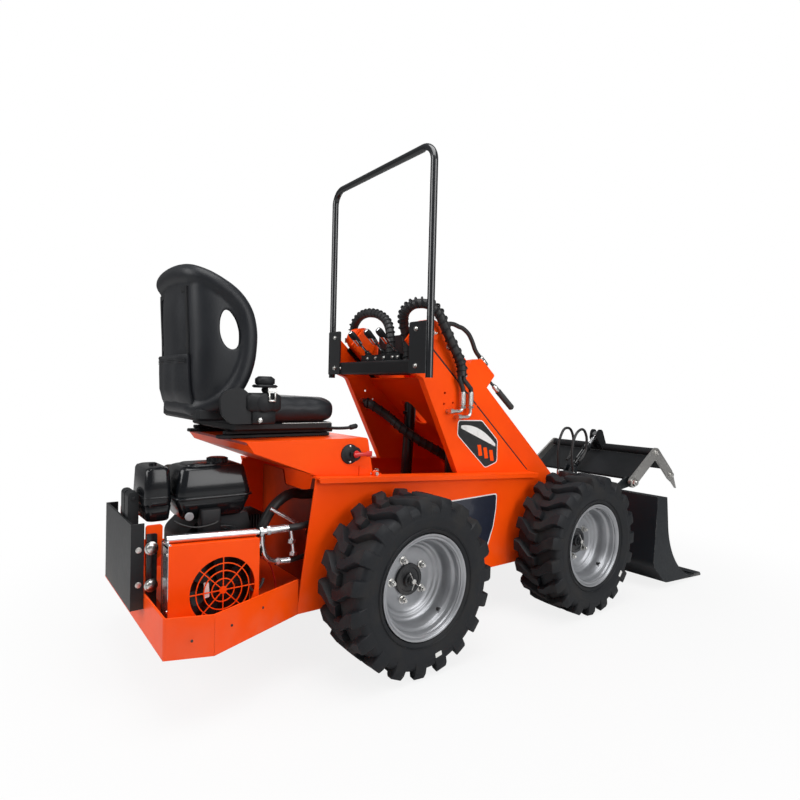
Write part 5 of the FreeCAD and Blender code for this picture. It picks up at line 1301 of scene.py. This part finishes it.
# ------------------------------------------------------------------ bolts on the tower and the deck
# Plated hex bolts through the tower sheets, the hinge blocks and the seat rails.
# The seat deck's rear edge has a thin dark red strip of painted shade, and its switch a red key in front of a
# black disc.
# Two small blank labels are stuck on the right-hand tyres.
bolts = Shape()
for hand in (-1, 1):
    for along, lift in ((0.272, 1.060), (0.150, 1.086), (0.060, 0.980)):
        bolts.hex_head(spot(hand * 0.279, along, lift), (hand, 0, 0), 0.016, 0.007)
    for along in (0.486, 0.503):
        bolts.hex_head(spot(hand * 0.2905, along, 0.6225), (hand, 0, 0), 0.010, 0.004, washer=False)
bolts.made("tower_bolts", zinc, "chassis")
rail_bolts = Shape()
for hand in (-1, 1):
    for along in (0.625, 0.900):
        rail_bolts.hex_head(spot(hand * 0.150, along, 0.7485), (0, 0, 1), 0.014, 0.006)
rail_bolts.made("seat_rail_bolts", zinc, "seat_deck")
# The dark red strip on the deck's rear edge is painted shade of the deck's rear face.
rear_edge_shade, rear_edge_shade_shader, place = finish("dark_red_edge", Coat_Weight=0.2)
shade_mottle = place.mottle(90.0, 4.0).fade(0.5, 0.8)
feed(rear_edge_shade_shader, Base_Color=shade_mottle.tint((0.22, 0.012, 0.008), (0.10, 0.008, 0.006)),
     Roughness=0.4 + 0.2 * shade_mottle)
edge = Shape()
boxed(edge, spot(-0.289, 0.9535, 0.7395), spot(0.289, 0.9572, 0.7478), 0.0006)
edge.made("deck_rear_edge", rear_edge_shade, "seat_deck")
dress(["master_switch"], plastic)
low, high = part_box("master_switch")
middle = (low + high) / 2
deck_side = -0.2903
disc = Shape().spin(Vector((deck_side, middle.y + 0.018, middle.z)), (-1, 0, 0),
                    [(0, 0.0335), (0.002, 0.0340), (0.0045, 0.0325), (0.005, 0.0250), (0.0085, 0.0200),
                     (0.0090, 0.0150)], 40)
disc.made("switch_disc", plastic, "seat_deck")
dots = Shape()
for side in (-1, 1):
    dots.spin(Vector((deck_side - 0.0045, middle.y + 0.018, middle.z + side * 0.0265)), (-1, 0, 0),
              [(0, 0.0042), (0.001, 0.0040), (0.0022, 0.0020)], 16)
dots.made("switch_screws", zinc, "seat_deck")
key_red = two_tone("switch_red", 70, (0.62, 0.012, 0.010), (0.50, 0.010, 0.008), Roughness=0.35,
                   Coat_Weight=0.3)
key = Shape()
moulded(key, (low.x - 0.0120, middle.y - 0.052, middle.z - 0.0060),
        (low.x - 0.0020, middle.y + 0.016, middle.z + 0.0060), 0.002, 0.003)
moulded(key, (low.x - 0.0100, middle.y - 0.056, middle.z - 0.0095),
        (low.x - 0.0040, middle.y - 0.034, middle.z + 0.0095), 0.002, 0.002)
key.spin(Vector((low.x - 0.004, middle.y, middle.z)), (1, 0, 0), [(0, 0.0105), (0.006, 0.0125)], 24)
key.made("switch_key", key_red, "seat_deck")
hinge_bolts = Shape()
for hand in (-1, 1):
    for along in (0.470, 0.520, 0.545):
        hinge_bolts.hex_head(spot(hand * 0.2760, along, 0.6290), (0, 0, 1), 0.012, 0.006)
    hinge_bolts.spin(spot(hand * 0.3165, 0.495, 0.624), (-hand, 0, 0),
                     [(0, 0.0060), (0.002, 0.0068), (0.010, 0.0068), (0.012, 0.0060)], 20)
hinge_bolts.made("hinge_bolts", zinc, "chassis")
for end, angle, spin in (("rear", -78, 0), ("front", -40, 90)):
    low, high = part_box(f"tyre_{end}_right")
    middle = (low + high) / 2
    turn = math.radians(angle)
    outward = Vector((0, -math.cos(turn), math.sin(turn)))
    side = Vector((0, -math.sin(turn), -math.cos(turn)))
    foot = Vector((low.x + 0.0005, middle.y, middle.z)) + outward * 0.226
    corners = [foot + side * a * 0.013 + outward * b * 0.0075
               for a, b in ((-1, -1), (1, -1), (1, 1), (-1, 1))]
    patch = Shape()
    decal(patch, [(corner, 0.0015) for corner in corners], Vector((-0.0006, 0, 0)))
    patch.made(f"tyre_label_{end}", label_white, f"{end}_right_wheel")
